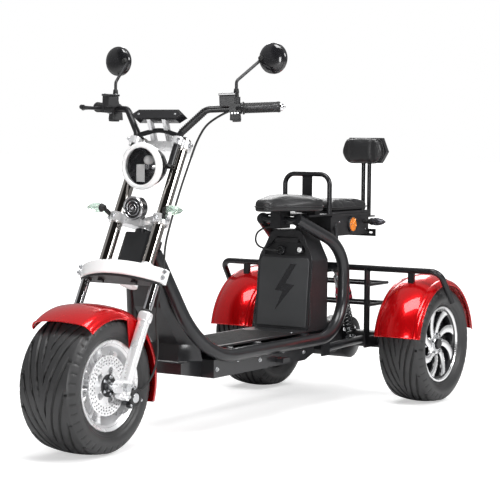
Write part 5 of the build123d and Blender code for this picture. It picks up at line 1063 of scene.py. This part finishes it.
# Camera at the photograph's place, floor, world and lights
SENSOR_WIDTH, FOCAL_LENGTH, ROLL = 36, 124.2, radians(0.53)
optics = bpy.data.cameras.new("camera")
optics.sensor_width = SENSOR_WIDTH
optics.lens = FOCAL_LENGTH
camera = add_object("camera", optics)
eye = rear(5746, 3251, 977)
aim = rear(651, 0, 581)
look = (aim - eye).to_track_quat("-Z", "Y").to_matrix().to_4x4()
camera.matrix_world = Matrix.Translation(eye) @ look @ Matrix.Rotation(ROLL, 4, "Z")
bpy.context.scene.camera = camera

FLOOR, FLOOR_LIFT = 60.0, 0.5
FLOOR_GREY = (0.8, 0.8, 0.8, 1)
FADE_FROM, FADE_TO = 1.1, 3.0
floor_mesh = bpy.data.meshes.new("floor")
corners = [(-FLOOR, -FLOOR, 0), (FLOOR, -FLOOR, 0), (FLOOR, FLOOR, 0), (-FLOOR, FLOOR, 0)]
floor_mesh.from_pydata(corners, [], [(0, 1, 2, 3)])
floor = add_object("floor", floor_mesh)
pale = bpy.data.materials.new("pale_floor")
pale.use_nodes = True
tree = pale.node_tree
tree.nodes.clear()
# Away from the trike the camera sees plain white, and near it a lifted grey that keeps the shadow
camera_ray = add_node(tree, "LightPath", "Is Camera Ray")
matte = add_node(tree, "BsdfDiffuse", "BSDF", {"Color": FLOOR_GREY})
glow = add_node(tree, "Emission", "Emission")
place = add_node(tree, "TexCoord", "Object")
length = add_node(tree, "VectorMath", "Value", links={0: place}, operation="LENGTH")
fade = add_node(tree, "MapRange", "Result", {"From Min": FADE_FROM, "From Max": FADE_TO}, {"Value": length},
                interpolation_type="SMOOTHSTEP")
far = add_node(tree, "Math", "Value", links={0: fade, 1: camera_ray}, operation="MULTIPLY")
mix = add_node(tree, "MixShader", "Shader", links={"Fac": far, 1: matte, 2: glow})
seen = add_node(tree, "Math", "Value", {1: FLOOR_LIFT}, {0: camera_ray}, operation="MULTIPLY")
lift = add_node(tree, "Emission", "Emission", links={"Strength": seen})
both = add_node(tree, "AddShader", "Shader", links={0: mix, 1: lift})
add_node(tree, "OutputMaterial", None, links={"Surface": both})
floor_mesh.materials.append(pale)
floor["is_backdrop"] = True

SKY_STRENGTH = 0.5
DARK_WAY, DARK_TONE = (0.71, 0.41, 0.57), (0.035, 0.032, 0.03)
DARK_FROM, DARK_TO = 0.46, 0.72
world = bpy.data.worlds.new("studio")
scene.world = world
world.use_nodes = True
tree = world.node_tree
tree.nodes.clear()
place = add_node(tree, "TexCoord", "Generated")
split = add_node(tree, "SeparateXYZ", "Z", links={"Vector": place})
height = add_node(tree, "MapRange", "Result", {"From Min": 0.0, "From Max": 0.8}, {"Value": split})
sky = tint(tree, height, (0.5, 0.5, 0.51), (1, 1, 1))
# A dark end of the room, in front of the trike, gives the chrome its dark bands
dark_end = add_node(tree, "VectorMath", "Value", {1: DARK_WAY}, {0: place}, operation="DOT_PRODUCT")
near_dark = add_node(tree, "MapRange", "Result", {"From Min": DARK_FROM, "From Max": DARK_TO},
                     {"Value": dark_end}, interpolation_type="SMOOTHSTEP")
room = overlay(tree, near_dark, sky, DARK_TONE)
soft = add_node(tree, "Background", "Background", {"Strength": SKY_STRENGTH}, {"Color": room})
white = add_node(tree, "Background", "Background", {"Color": (1, 1, 1, 1)})
camera_ray = add_node(tree, "LightPath", "Is Camera Ray")
clear_ray = add_node(tree, "LightPath", "Is Transmission Ray")
clear = add_node(tree, "Math", "Value", links={0: camera_ray, 1: clear_ray}, operation="MAXIMUM")
mix = add_node(tree, "MixShader", "Shader", links={"Fac": clear, 1: soft, 2: white})
add_node(tree, "OutputWorld", None, links={"Surface": mix})


def lamp(name, place, target, power, width, height):
    """A soft rectangular lamp turned to a target, its sizes in metres."""
    data = bpy.data.lights.new(name, "AREA")
    data.energy = power
    data.shape = "RECTANGLE"
    data.size = width
    data.size_y = height
    made = add_object(name, data)
    made.location = place
    made.rotation_euler = (Vector(target) - Vector(place)).to_track_quat("-Z", "Y").to_euler()


lamp("key", (0.9, 0.7, 4.2), (0, 0, 0.5), 150, 2.6, 1.6)
lamp("side", (0.2, 3.4, 2.4), (-0.2, 0, 0.4), 100, 2.2, 1.0)
lamp("front", (4.0, 1.6, 0.9), (0, 0, 0.5), 60, 1.0, 1.4)
lamp("back", (-3.2, -1.6, 2.6), (0, 0, 0.6), 60, 2.0, 1.4)
bpy.context.scene.view_settings.view_transform = "Standard"

low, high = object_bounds()
